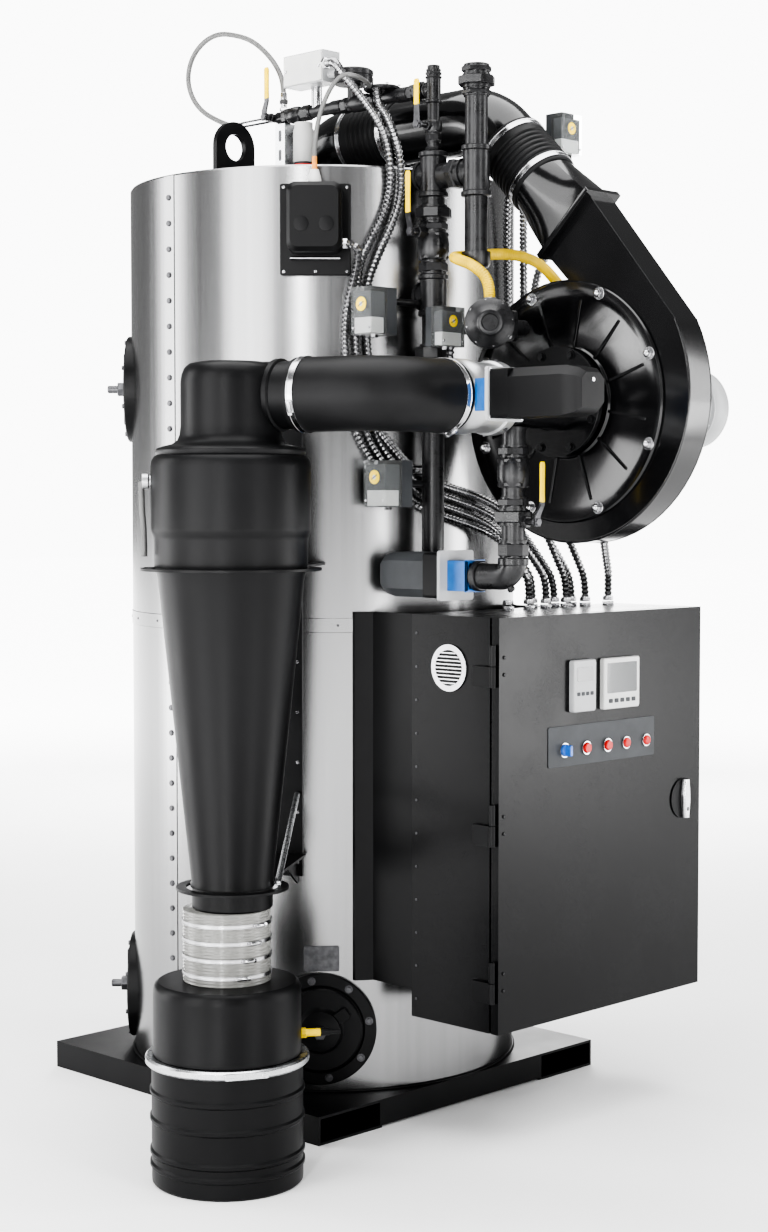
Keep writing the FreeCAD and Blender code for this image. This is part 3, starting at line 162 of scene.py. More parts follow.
def material(name, colour, roughness, metallic=0.0, coat=0.0, spread=0.25, patch=9, grain=350,
             stretch=(1, 1, 1), rough_spread=0.08, bump=0.15, depth=0.0004, **sockets):
    """A finish with slow colour patches, uneven gloss and a fine grain, all in the object's own metres."""
    made = bpy.data.materials.new(name)
    made.use_nodes = True
    tree = made.node_tree
    shader = tree.nodes["Principled BSDF"]
    coords = tree.nodes.new("ShaderNodeTexCoord")
    slow = noise(tree, coords, patch, stretch, 5.0)
    fine = noise(tree, coords, grain, stretch)
    low = [part * (1 - spread) for part in colour]
    high = [min(part * (1 + spread), 1) for part in colour]
    tree.links.new(ramp(tree, slow, low, high), shader.inputs["Base Color"])
    mixed = tree.nodes.new("ShaderNodeMath")
    mixed.operation = "MULTIPLY_ADD"
    mixed.inputs[1].default_value = 0.5
    half = tree.nodes.new("ShaderNodeMath")
    half.operation = "MULTIPLY"
    half.inputs[1].default_value = 0.5
    tree.links.new(fine, half.inputs[0])
    tree.links.new(slow, mixed.inputs[0])
    tree.links.new(half.outputs[0], mixed.inputs[2])
    rough = ranged(tree, mixed.outputs[0], max(roughness - rough_spread, 0.03), roughness + rough_spread)
    tree.links.new(rough, shader.inputs["Roughness"])
    raised = tree.nodes.new("ShaderNodeBump")
    raised.inputs["Strength"].default_value = bump
    raised.inputs["Distance"].default_value = depth
    tree.links.new(fine, raised.inputs["Height"])
    tree.links.new(raised.outputs["Normal"], shader.inputs["Normal"])
    shader.inputs["Metallic"].default_value = metallic
    shader.inputs["Coat Weight"].default_value = coat
    for socket, value in sockets.items():
        shader.inputs[socket.replace("_", " ")].default_value = value
    MATERIALS[name] = made
    return made, coords


def wave_bump(made, coords, scale, direction, strength, distance):
    """Adds parallel ridges to a material's bump, for braid and for hose ribs."""
    tree = made.node_tree
    wave = tree.nodes.new("ShaderNodeTexWave")
    wave.bands_direction = direction
    wave.inputs["Scale"].default_value = scale
    ridges = tree.nodes.new("ShaderNodeBump")
    ridges.inputs["Strength"].default_value = strength
    ridges.inputs["Distance"].default_value = distance
    shader = tree.nodes["Principled BSDF"]
    old = shader.inputs["Normal"].links[0].from_socket
    tree.links.new(coords.outputs["Object"], wave.inputs["Vector"])
    tree.links.new(wave.outputs["Fac"], ridges.inputs["Height"])
    tree.links.new(old, ridges.inputs["Normal"])
    tree.links.new(ridges.outputs["Normal"], shader.inputs["Normal"])


def make_materials():
    """One material for each finish on the boiler."""
    dull = {"Specular_IOR_Level": 0.2}
    material("jacket", (0.27, 0.27, 0.272), 0.24, 1.0, spread=0.05, patch=60, grain=800,
             stretch=(1, 1, 0.004), rough_spread=0.03, bump=0.006, depth=0.0001)
    material("jacket_top", (0.36, 0.36, 0.362), 0.36, 1.0, spread=0.08, grain=700, stretch=(1, 0.02, 1))
    material("black_paint", (0.006, 0.006, 0.0065), 0.36, spread=0.3, grain=1400, bump=0.25, depth=0.0003,
             **dull)
    material("gloss_black", (0.004, 0.004, 0.0045), 0.16, coat=0.15, spread=0.2, patch=6, grain=160,
             rough_spread=0.04, bump=0.04, Coat_Roughness=0.06)
    material("black_pipe", (0.012, 0.012, 0.013), 0.31, spread=0.35, patch=40, grain=900,
             rough_spread=0.12, bump=0.35, Specular_IOR_Level=0.5)
    material("black_plastic", (0.006, 0.006, 0.0065), 0.40, spread=0.2, patch=6, grain=1600, bump=0.22,
             depth=0.0003, **dull)
    material("black_rubber", (0.009, 0.009, 0.0095), 0.46, patch=12, grain=900, bump=0.2, **dull)
    material("bright_steel", (0.50, 0.50, 0.51), 0.20, 1.0, spread=0.10, patch=60, grain=1200,
             rough_spread=0.09, bump=0.08)
    material("conduit_steel", (0.27, 0.27, 0.275), 0.24, 0.95, spread=0.15, patch=60, grain=1200, bump=0.05)
    material("dark_steel", (0.10, 0.10, 0.105), 0.38, 0.8, spread=0.3, patch=80, grain=1200)
    material("aluminium", (0.46, 0.465, 0.47), 0.34, 0.9, spread=0.08, patch=25, grain=1300, bump=0.25)
    material("blue_paint", (0.02, 0.12, 0.36), 0.40, coat=0.2, spread=0.15, patch=30, grain=900)
    material("yellow_grip", (0.78, 0.55, 0.002), 0.46, spread=0.10, patch=30, grain=500)
    hose = material("yellow_hose", (0.62, 0.43, 0.012), 0.46, spread=0.18, patch=30, grain=900)
    wave_bump(*hose, 120, "Z", 0.15, 0.0005)
    material("clear_plastic", (0.42, 0.42, 0.40), 0.17, spread=0.05, grain=400, bump=0.1,
             Transmission_Weight=0.55, IOR=1.42)
    material("clear_cover", (0.86, 0.88, 0.88), 0.10, spread=0.03, grain=300, rough_spread=0.03, bump=0.03,
             Transmission_Weight=0.92, IOR=1.12)
    material("grey_paint", (0.36, 0.365, 0.37), 0.38, spread=0.08, patch=14, grain=1200, bump=0.25)
    material("dark_grey", (0.055, 0.058, 0.062), 0.44, spread=0.2, patch=14, grain=1300, bump=0.25, **dull)
    material("light_plastic", (0.52, 0.52, 0.51), 0.38, spread=0.06, patch=20, grain=1300)
    material("red_plastic", (0.52, 0.008, 0.006), 0.34, spread=0.12, patch=40, grain=500)
    material("blue_plastic", (0.02, 0.11, 0.42), 0.30, coat=0.2, spread=0.12, patch=40, grain=900)
    material("yellow_dial", (0.86, 0.62, 0.02), 0.42, spread=0.08, patch=60, grain=900)
    material("screen", (0.012, 0.016, 0.018), 0.10, coat=0.5, spread=0.3, patch=20, grain=500,
             rough_spread=0.03)
    material("copper_orange", (0.65, 0.26, 0.05), 0.5, spread=0.2, patch=80, grain=1500)
    braid = material("hose_grey", (0.15, 0.15, 0.148), 0.42, 0.35, spread=0.12, patch=60, grain=1500)
    wave_bump(*braid, 420, "DIAGONAL", 0.5, 0.0006)
    material("cabinet_black", (0.004, 0.004, 0.0045), 0.26, spread=0.2, patch=7, grain=1100,
             rough_spread=0.06, bump=0.18, depth=0.0003, **dull)
    material("zinc", (0.60, 0.61, 0.62), 0.28, 1.0, spread=0.08, patch=60, grain=900, rough_spread=0.06,
             bump=0.05)
    material("floor", (0.93, 0.93, 0.93), 0.7, spread=0.015, patch=2, grain=300, bump=0.02)


make_materials()

# ---------------------------------------------------------------- mesh making, in millimetres

def upright(at, axis=Z, turn=0.0):
    """A frame at a point with its third axis along the given one; the second points up where it can."""
    axis = Vector(axis).normalized()
    across = Z.cross(axis)
    if across.length < 1e-4:
        across = X
    across.normalize()
    up = axis.cross(across)
    made = Matrix((across, up, axis)).transposed().to_4x4()
    made.translation = Vector(at)
    return made @ Matrix.Rotation(math.radians(turn), 4, "Z")


def rounded(width, height, corner, steps=5):
    """A rectangle's outline with round corners, about its middle."""
    points = []
    for n, (side, end) in enumerate(((1, -1), (1, 1), (-1, 1), (-1, -1))):
        middle = Vector((side * (width / 2 - corner), end * (height / 2 - corner)))
        for step in range(steps + 1):
            angle = math.radians(-90 + 90 * n + 90 * step / steps)
            points.append((middle.x + corner * math.cos(angle), middle.y + corner * math.sin(angle)))
    return points


def circle(radius, count=48):
    """A round outline."""
    return [(radius * math.cos(angle), radius * math.sin(angle))
            for angle in (math.tau * n / count for n in range(count))]


class Shape:
    """One piece's mesh while it is made, with the materials that its parts use."""

    def __init__(self, finish="black_paint"):
        self.mesh = bmesh.new()
        self.finishes = []
        self.use(finish)

    def use(self, finish):
        """Makes what comes next of this material."""
        if finish not in self.finishes:
            self.finishes.append(finish)
        self.index = self.finishes.index(finish)
        return self

    def face(self, corners):
        """One face of the current material."""
        made = self.mesh.faces.new(corners)
        made.material_index = self.index
        return made

    def loft(self, rings, closed=False, caps=True):
        """Skins a list of equal rings of points."""
        rows = [[self.mesh.verts.new(point) for point in ring] for ring in rings]
        count = len(rows[0])
        pairs = list(zip(rows, rows[1:]))
        if closed:
            pairs.append((rows[-1], rows[0]))
        for first, second in pairs:
            for n in range(count):
                m = (n + 1) % count
                self.face((first[n], first[m], second[m], second[n]))
        if caps and not closed:
            self.face(list(reversed(rows[0])))
            self.face(rows[-1])
        return self

    def lathe(self, profile, at, axis=Z, segments=48, turn=0.0, closed=False):
        """Turns a profile of radius and height pairs about an axis."""
        place = upright(at, axis, turn)
        rings = []
        for radius, height in profile:
            reach = max(radius, 0.01)
            rings.append([place @ Vector((*point, height)) for point in circle(reach, segments)])
        return self.loft(rings, closed)

    def prism(self, outline, depth, at, axis=Z, turn=0.0, edge=0.0):
        """Raises an outline along an axis, with a small chamfer at its far end where an edge is given."""
        place = upright(at, axis, turn)
        steps = [(0, 1.0), (depth, 1.0)]
        if edge:
            reach = max(max(abs(part) for part in point) for point in outline)
            steps = [(0, 1.0), (depth - edge, 1.0), (depth, 1 - edge / reach)]
        rings = [[place @ Vector((x * share, y * share, height)) for x, y in outline]
                 for height, share in steps]
        return self.loft(rings)

    def block(self, low, high):
        """A box between two corners; its edges are rounded with the piece's."""
        low = Vector(low)
        high = Vector(high)
        ring = ((low.x, low.y), (high.x, low.y), (high.x, high.y), (low.x, high.y))
        return self.loft([[(x, y, level) for x, y in ring] for level in (low.z, high.z)])

    def ring(self, outer, inner, length, at, axis=Z, segments=64):
        """A flat ring or sleeve."""
        profile = [(inner, 0), (outer, 0), (outer, length), (inner, length)]
        return self.lathe(profile, at, axis, segments, closed=True)

    def tube(self, points, radius, segments=12, ribs=None):
        """Sweeps a circle along points; ribs gives a pitch and a height of ridges along it."""
        path = [Vector(point) for point in points]
        if ribs:
            path = divided(path, ribs[0] / 2)
        heading = (path[1] - path[0]).normalized()
        side = heading.orthogonal().normalized()
        rings = []
        for n, place in enumerate(path):
            ahead = path[min(n + 1, len(path) - 1)] - path[max(n - 1, 0)]
            ahead.normalize()
            side = (side - ahead * side.dot(ahead)).normalized()
            other = ahead.cross(side)
            reach = radius
            if ribs and n % 2:
                reach -= ribs[1]
            rings.append([place + side * x + other * y for x, y in circle(reach, segments)])
        return self.loft(rings)

    def hexagon(self, radius, length, at, axis=Z, turn=0.0):
        """A hexagon nut or head across its corners, with chamfered ends."""
        chamfer = min(radius * 0.1, length * 0.3)
        profile = [(radius * 0.88, 0), (radius, chamfer), (radius, length - chamfer), (radius * 0.88, length)]
        return self.lathe(profile, at, axis, 6, turn)

    def bolt(self, at, axis, radius, washer=True):
        """A hexagon bolt head on its washer; the radius is the head's."""
        if washer:
            self.lathe([(radius * 1.3, 0), (radius * 1.3, radius * 0.22)], at, axis, 20)
        base = Vector(at) + Vector(axis).normalized() * radius * 0.2
        self.hexagon(radius, radius * 0.75, base, axis, (Vector(at).x * 7 + Vector(at).z * 3) % 60)
        return self

    def dome_nut(self, at, axis, radius):
        """A cap nut on a washer."""
        self.lathe([(radius * 1.5, 0), (radius * 1.5, radius * 0.2)], at, axis, 24)
        base = Vector(at) + Vector(axis).normalized() * radius * 0.2
        self.hexagon(radius, radius * 0.7, base, axis)
        crown = [(radius * 0.82, radius * 0.7), (radius * 0.8, radius), (radius * 0.6, radius * 1.4),
                 (radius * 0.3, radius * 1.6), (0, radius * 1.66)]
        return self.lathe(crown, base, axis, 20)

    def screw(self, at, axis, radius, turn=20.0):
        """A pan-head screw; a thin dark bar on its head stands for its slot, painted shade in place of a cut
        groove.
        """
        height = radius * 0.55
        self.lathe([(radius, 0), (radius, height * 0.5), (radius * 0.8, height)], at, axis, 16)
        top = Vector(at) + Vector(axis).normalized() * (height - 0.1)
        finish = self.finishes[self.index]
        slot = rounded(radius * 1.3, radius * 0.28, radius * 0.1, 1)
        # painted shade: a dark bar on the head in place of the slot's groove
        self.use("dark_steel").prism(slot, 0.25, top, axis, turn)
        return self.use(finish)

    def clamp(self, radius, width, at, axis, screw_turn):
        """A worm-drive band: the band with rolled edges, its housing and its screw at an angle round it."""
        edge = width * 0.16
        profile = [(radius, -width / 2), (radius + 1.8, -width / 2), (radius + 1.8, edge - width / 2),
                   (radius + 1.1, edge - width / 2 + 0.5), (radius + 1.1, width / 2 - edge - 0.5),
                   (radius + 1.8, width / 2 - edge), (radius + 1.8, width / 2), (radius, width / 2)]
        self.lathe(profile, at, axis, 72, closed=True)
        place = upright(at, axis) @ Matrix.Rotation(math.radians(screw_turn), 4, "Z")
        outward = place.to_3x3() @ X
        along = place.to_3x3() @ Y
        foot = Vector(at) + outward * (radius + 0.8)
        turn = 0 if abs(Vector(axis).z) > 0.7 else 90
        self.prism(rounded(26, width * 0.92, 2, 2), 3.0, foot, outward, turn)
        middle = foot + outward * 4.6
        self.lathe([(3.9, -10), (4.4, -8), (4.4, 8), (3.9, 10)], middle, along, 14)
        self.hexagon(4.6, 6, middle + along * 11, along)
        # painted shade: a thin dark bar on the screw's end stands for its slot, in place of a cut groove
        self.use("dark_steel").prism(rounded(7, 1.1, 0.3, 1), 0.3, middle + along * 16.9, along)
        return self.use("bright_steel")

    def done(self, name, replaces=(), body=ROOT, slot=None, bevel=0.6, angle=34):
        """Makes the object: smooth, with its sharp edges rounded, riding on its body."""
        bmesh.ops.recalc_face_normals(self.mesh, faces=self.mesh.faces)
        bmesh.ops.scale(self.mesh, verts=self.mesh.verts, vec=(MM, MM, MM))
        data = bpy.data.meshes.new(name)
        self.mesh.to_mesh(data)
        self.mesh.free()
        for finish in self.finishes:
            data.materials.append(MATERIALS[finish])
        for face in data.polygons:
            face.use_smooth = True
        thing = bpy.data.objects.new(name, data)
        bpy.context.collection.objects.link(thing)
        if bevel:
            round_edges(thing, bevel, angle)
        else:
            data.set_sharp_from_angle(angle=math.radians(angle))
        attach(thing, body)
        if replaces:
            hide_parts(*replaces)
        return thing


def round_edges(thing, width, angle=34):
    """A small rounding along sharp edges, with smooth shading over it."""
    bevel = thing.modifiers.new("edges", "BEVEL")
    bevel.width = width * MM
    bevel.segments = 2
    bevel.limit_method = "ANGLE"
    bevel.angle_limit = math.radians(angle)
    bevel.harden_normals = True
    bevel.use_clamp_overlap = True


def divided(path, pitch):
    """The same path in equal steps."""
    made = [path[0]]
    left = pitch
    for first, second in zip(path, path[1:]):
        length = (second - first).length
        while left <= length:
            made.append(first.lerp(second, left / length))
            left += pitch
        left -= length
    if (path[-1] - made[-1]).length > pitch * 0.3:
        made.append(path[-1])
    return made


def spline_path(points):
    """Points along the smooth curve that these control points give, all in millimetres."""
    guide = nurbs("guide", [Vector(point) * MM for point in points], 0)
    bpy.context.view_layer.update()
    data = bpy.data.meshes.new_from_object(guide.evaluated_get(bpy.context.evaluated_depsgraph_get()))
    path = [vertex.co / MM for vertex in data.vertices]
    curve = guide.data
    bpy.data.objects.remove(guide)
    bpy.data.curves.remove(curve)
    bpy.data.meshes.remove(data)
    return path


def keep(node, finish, bevel=0.8):
    """A CAD node whose shape is right, with its material and softened edges."""
    thing = frame["nodes"][node]
    thing.data.materials.clear()
    thing.data.materials.append(MATERIALS[finish])
    if bevel:
        round_edges(thing, bevel)
    return thing


def around(radius, count, start=0.0):
    """Equal places round a circle, as pairs."""
    for n in range(count):
        angle = math.radians(start) + math.tau * n / count
        yield radius * math.cos(angle), radius * math.sin(angle)


def bearing(angle, reach, level):
    """A point at an angle and a distance from the shell's axis."""
    turn = math.radians(angle)
    return Vector((reach * math.cos(turn), reach * math.sin(turn), level))


def outward(angle):
    """The direction away from the shell's axis at an angle."""
    return bearing(angle, 1, 0)

# ---------------------------------------------------------------- shell, skid and covers

SHELL_LOW, SHELL_HIGH = span("upper_jacket")
SHELL = SHELL_HIGH.x
CROWN = SHELL_HIGH.z
BELT = SHELL_LOW.z
FOOT = span("lower_jacket")[0].z
SEAM = 177  # the lapped seam's angle round the shell, in degrees
SHEET = 1.6  # how far the belt and the lap stand out from the jacket
WALL = SHELL - SHEET
BELT_TALL = 32
COVER_ANGLE = 135  # both hand-hole covers; the cleanout is opposite, at minus this
COVERS_APART = 1427  # the height between the two hand-hole covers
COVER_LOW, COVER_HIGH = span("handhole_covers")
COVER_RADIUS = (COVER_HIGH.z - COVER_LOW.z - COVERS_APART) / 2
PROBE_ANGLE = -136
PLATE_ANGLE = -134.7
LUG_REACH = 281  # from the shell's axis to each lifting lug


def make_jacket():
    """Brushed jacket in two courses with a belt, and a lid with a rim."""
    skin = Shape("jacket")
    skin.lathe([(WALL, FOOT), (WALL, BELT - BELT_TALL), (SHELL, BELT - BELT_TALL + 1), (SHELL, BELT - 1),
                (WALL, BELT), (WALL, CROWN - 4), (WALL - 3, CROWN)], (0, 0, 0), segments=180)
    skin.use("jacket_top")
    skin.lathe([(WALL - 6, CROWN - 3), (WALL - 6, CROWN - 0.4), (0, CROWN - 0.4)], (0, 0, 0), segments=120)
    skin.done("shell_jacket", ("lower_jacket", "upper_jacket"), bevel=0)


def make_seam():
    """The lapped seam with its screws, and the small screws round the belt."""
    lap = Shape("jacket")
    section = [(-2.2, WALL - 1), (-2.2, SHELL), (0, SHELL), (2.2, SHELL), (2.2, WALL - 1), (0, WALL - 1)]
    for course in ((FOOT, BELT - BELT_TALL), (BELT, CROWN - 3)):
        lap.loft([[bearing(SEAM + shift, reach, level) for shift, reach in section] for level in course])
    lap.use("dark_steel")
    level = FOOT + 40
    while level < CROWN - 20:
        lap.screw(bearing(SEAM, SHELL - 0.2, level), outward(SEAM), 6.5, level)
        level += 57
    for turn in range(0, 360, 15):
        lap.screw(bearing(turn + 5, SHELL - 0.4, BELT - BELT_TALL / 2), outward(turn + 5), 2.8, turn)
    lap.done("jacket_seam", bevel=0)


def make_handhole_covers():
    """The two hand-hole covers, each with a yoke and a stud."""
    radius = COVER_RADIUS
    axis = outward(COVER_ANGLE)
    covers = Shape("black_paint")
    for level in (COVER_LOW.z + radius, COVER_HIGH.z - radius):
        covers.use("black_paint")
        covers.lathe([(radius, 0), (radius, 27), (radius - 3, 30), (radius - 14, 30), (radius - 16, 27),
                      (40, 27), (0, 29)], bearing(COVER_ANGLE, SHELL - 22, level), axis, 72)
        covers.prism(rounded(172, 34, 8), 13, bearing(COVER_ANGLE, SHELL + 5, level), axis, 90, 3)
        covers.use("dark_steel").hexagon(18, 16, bearing(COVER_ANGLE, SHELL + 18, level), axis)
        covers.lathe([(9, 0), (9, 26), (7, 28)], bearing(COVER_ANGLE, SHELL + 30, level), axis, 20)
        place = upright(bearing(COVER_ANGLE, SHELL + 8, level), axis)
        for x, y in around(radius - 9, 8, 22.5):
            covers.bolt(place @ Vector((x, y, -1)), axis, 5.5)
    covers.done("handhole_covers_made", ("handhole_covers",))


def make_cleanout():
    """The cleanout cover with its ring of bolts, level with the lower hand-hole."""
    axis = outward(-COVER_ANGLE)
    at = bearing(-COVER_ANGLE, SHELL - 22, COVER_LOW.z + COVER_RADIUS)
    cleanout = Shape("black_paint")
    cleanout.lathe([(124, 0), (124, 27), (121, 30), (98, 30), (95, 26), (93, 26), (93, 34), (89, 38),
                    (52, 38), (48, 42), (44, 51), (30, 55), (0, 56)], at, axis, 72)
    place = upright(at, axis)
    cleanout.prism(rounded(150, 26, 6), 10, place @ Vector((0, 0, 37)), axis, 35, 2)
    cleanout.use("dark_steel").hexagon(15, 14, place @ Vector((0, 0, 56)), axis)
    cleanout.lathe([(8, 0), (8, 16)], place @ Vector((0, 0, 58)), axis, 16)
    for x, y in around(109, 8, 10):
        cleanout.bolt(place @ Vector((x, y, 29)), axis, 7)
    cleanout.done("cleanout_cover_made", ("cleanout_cover",))


def make_probe_box():
    """The probe box on its plate, with a rod below its lid and a gland at its side."""
    axis = outward(PROBE_ANGLE)
    place = upright(bearing(PROBE_ANGLE, SHELL - 12, centre("probe_box").z), axis)
    box = Shape("black_paint")
    box.prism(rounded(153, 197, 6), 19, place.translation, axis, 0, 1.5)
    box.use("black_plastic").prism(rounded(118, 147, 20, 7), 80, place @ Vector((0, 20, 10)), axis, 0, 9)
    box.prism(rounded(112, 141, 18, 7), 2, place @ Vector((0, 20, 28)), axis)
    for x in (-28, 26):
        box.use("black_paint").lathe([(16, 0), (16, 2.5), (12, 3)], place @ Vector((x, 4, 89.5)), axis, 32)
    box.use("bright_steel")
    for x in (-68, 0, 68):
        for y in (-90, 90):
            box.screw(place @ Vector((x, y, 19)), axis, 3.6, x + y)
    box.lathe([(4, 0), (4, 108)], place @ Vector((-54, -62, 26)), place.to_3x3() @ X, 16)
    box.hexagon(12, 12, place @ Vector((59, -35, 55)), place.to_3x3() @ X)
    box.done("probe_box_made", ("probe_box",), bevel=0.5)


def make_skid():
    """The skid's plates and tubes and the lifting lugs, with their weld beads."""
    for node in ("skid_plate", "fork_tube_left", "fork_tube_right", "skid_skirts"):
        keep(node, "black_paint", 1.5)
    keep("lifting_lugs", "black_paint", 2)
    beads = Shape("black_paint")
    low, high = span("skid_plate")
    for x in (low.x + 5, -low.x - 5):
        beads.tube([(x, low.y + 4, low.z - 1), (x, high.y - 4, low.z - 1)], 3, 8, (5, 0.7))
    beads.tube([bearing(turn, SHELL + 0.5, FOOT + 1.5) for turn in range(0, 361, 3)], 4, 8, (7, 0.8))
    for x in (-LUG_REACH, LUG_REACH):
        for y in (-7.5, 7.5):
            beads.tube([(x - 57, y, CROWN + 1), (x + 57, y, CROWN + 1)], 3.4, 8, (5, 0.8))
    beads.done("weld_beads", bevel=0, angle=60)


def make_blank_plate():
    """The rating plate on the shell, left blank."""
    plate = Shape("dark_steel")
    out = outward(PLATE_ANGLE)
    plate.prism(rounded(78, 56, 4), 3, Vector((-319.9, -323.88, 360)) - out * 2, out, 0, 0.6)
    plate.done("blank_plate", bevel=0)


# ---------------------------------------------------------------- cyclone and drum

CYCLONE = 159  # the moulded body's radius
CYCLONE_X = span("cyclone_body")[1].x - CYCLONE
CYCLONE_Y = span("cyclone_body")[0].y + CYCLONE
CENTRE_LEVEL = centre("air_valve").z  # the height of the intake's centre line
HEADING = Vector((0.3113, -0.9503, 0)).normalized()  # the way that the cyclone's neck points
NECK_START = Vector((CYCLONE_X + 33, CYCLONE_Y - 3, CENTRE_LEVEL))
NECK = 126
NECK_END = NECK_START + HEADING * NECK
BRACKET_ANGLE = -146.11


def make_cyclone_body():
    """The moulded cyclone with its collars, and the port with its tube."""
    low, high = span("cyclone_body")
    x, y = CYCLONE_X, CYCLONE_Y
    body = Shape("black_plastic")
    shoulder = high.z - 220
    body.lathe([(78, low.z), (81, low.z + 3), (81, low.z + 40), (84, low.z + 44), (84, low.z + 50),
                (82, low.z + 54), (146, shoulder - 24), (151, shoulder - 8), (153, shoulder + 6),
                (153, shoulder + 50), (155, shoulder + 58), (158.5, shoulder + 66), (CYCLONE, shoulder + 74),
                (CYCLONE, high.z - 26), (157, high.z - 14), (152, high.z - 6), (144, high.z - 1),
                (136, high.z)], (x, y, 0), segments=96)
    body.use("aluminium")
    port = Vector((x - 124, y + 98.6, high.z - 55))
    out = Vector((-0.782, 0.623, 0))
    spigot = [(17, 0), (17, 12), (13, 14), (13, 26), (16, 28), (16, 40)]
    body.lathe(spigot, port + Vector((18, -14, 0)), out, 32)
    hang = [port + out * reach - Z * drop for reach, drop in ((18, 0), (18, 50), (13, 100), (13, 148))]
    body.use("hose_grey").tube(spline_path(hang), 6)
    body.done("cyclone_barrel", ("cyclone_body",), bevel=0.5)


def make_cyclone_lid():
    """The cyclone's domed lid and its neck."""
    low, high = span("cyclone_cap")
    base = low.z
    lid = Shape("black_plastic")
    lid.lathe([(146, base - 4), (149, base + 1), (149, base + 7), (145, base + 11), (132, base + 15),
               (116, base + 19), (106, base + 26), (101, base + 38), (99, base + 56), (99, high.z - 40),
               (97, high.z - 26), (92, high.z - 13), (83, high.z - 4), (68, high.z),
               (0, high.z)], (CYCLONE_X, CYCLONE_Y, 0), segments=96)
    lid.lathe([(67, 30), (67, NECK), (62, NECK)], NECK_START, HEADING, 72)
    lid.lathe([(72, 0), (72, 10), (68, 13)], NECK_START + HEADING * 78, HEADING, 72)
    lid.done("cyclone_lid", ("cyclone_cap",), bevel=0.5)


def make_cyclone_brackets():
    """The backing plate and both brackets, with screws, gussets and the strut."""
    keep("backing_plate", "black_paint", 1.2)
    keep("cyclone_brackets", "black_paint", 0.8)
    low, high = span("backing_plate")
    extras = Shape("bright_steel")
    out = outward(BRACKET_ANGLE)
    for level in range(int(low.z) + 30, int(high.z) - 10, 110):
        for side in (-6.0, 6.0):
            extras.screw(bearing(BRACKET_ANGLE + side * 0.85, SHELL + 9.5, level), out, 4.5, level)
    extras.use("black_paint")
    across = outward(BRACKET_ANGLE + 90)
    low, high = span("cyclone_brackets")
    for level, reach, rise in ((high.z, 250, 70), (low.z - 1, 300, -60)):
        for side in (-40, 40):
            foot = bearing(BRACKET_ANGLE, SHELL + 9, level) + across * side
            flat = [foot, foot + out * reach * 0.42, foot + Z * rise]
            extras.loft([[point + across * shift for point in flat] for shift in (-2.5, 2.5)])
    ring_side = Vector((CYCLONE_X, CYCLONE_Y, low.z + 6)) + across * 92
    wall_side = bearing(BRACKET_ANGLE, SHELL + 16, ring_side.z + 130) + across * 42
    extras.use("zinc").tube([ring_side, ring_side.lerp(wall_side, 0.5), wall_side], 6.5, 18)
    extras.bolt(ring_side + Z * 5, Z, 7)
    extras.done("cyclone_bracket_details", bevel=0.3)


DRUM_X, DRUM_Y = centre("drum_ring").xy


def make_drum():
    """The drum with its rolled hoops, and the clamp ring with its lever."""
    x, y = DRUM_X, DRUM_Y
    top = span("drum_body")[1].z
    pail = Shape("black_plastic")
    profile = [(148, 0), (152, 4), (152.5, 12)]
    for level in (40, 66, 133, 188):
        profile += [(152.5, level - 7), (156, level - 3), (156, level + 3), (152.5, level + 7)]
    pail.lathe(profile + [(152.5, top)], (x, y, 0), segments=96)
    pail.done("drum_pail", ("drum_body",), bevel=0)
    hoop = Shape("zinc")
    hoop.lathe([(150, 1), (161, 1), (165, 5), (165, 15), (161, 19), (150, 19)], (x, y, top), segments=96,
               closed=True)
    out = outward(-118)
    hoop.prism(rounded(88, 13, 3), 5, Vector((x, y, top + 10)) + out * 160.5, out, 0, 1)
    hoop.bolt(Vector((x, y, top + 10)) + out * 163 + outward(-28) * 34, out, 5)
    hoop.done("drum_clamp_ring", ("drum_ring",), bevel=0.5)


def make_drum_lid():
    """The lid with its deep collar."""
    low, high = span("drum_collar")
    collar = Shape("black_plastic")
    collar.lathe([(150, low.z), (150.5, low.z + 8), (149, low.z + 12), (149, high.z - 26), (148, high.z - 14),
                  (145, high.z - 6), (138, high.z - 1), (98, high.z), (0, high.z)], (DRUM_X, DRUM_Y, 0),
                 segments=96)
    collar.done("drum_lid", ("drum_collar",), bevel=0.5)


def make_drop_hose():
    """The clear ribbed hose between the cyclone and the drum."""
    low, high = span("drop_hose")
    hose = Shape("clear_plastic")
    profile = []
    level = low.z
    while level < high.z - 4:
        profile += [(86.6, level), (88.6, level + 1.6), (88.6, level + 3.2), (86.6, level + 4.8)]
        level += 6.4
    hose.lathe(profile, (DRUM_X, DRUM_Y, 0), segments=72)
    hose.done("drop_hose_ribbed", ("drop_hose",), bevel=0, angle=70)


def make_level_sensor():
    """The yellow level sensor in the drum's lid."""
    sensor = Shape("yellow_grip")
    out = outward(-36)
    foot = Vector((DRUM_X, DRUM_Y, centre("level_sensor").z)) + out * 148
    sensor.hexagon(11, 12, foot, out)
    sensor.lathe([(8, 0), (8, 30), (6.5, 32)], foot + out * 10, out, 24)
    sensor.use("black_plastic").lathe([(7.5, 0), (7.5, 20), (5, 24), (5, 44)], foot + out * 38, out, 24)
    sensor.done("level_sensor_made", ("level_sensor",), bevel=0.4)


# ---------------------------------------------------------------- air intake and blower

VALVE_LOW, VALVE_HIGH = span("air_valve")
INTAKE_Y = centre("air_valve").y
VALVE_START = Vector((VALVE_LOW.x, INTAKE_Y, CENTRE_LEVEL))
SHAFT_X = VALVE_LOW.x + 30  # where the air actuator turns the valve
HOSE = 73.3  # the air hose's radius


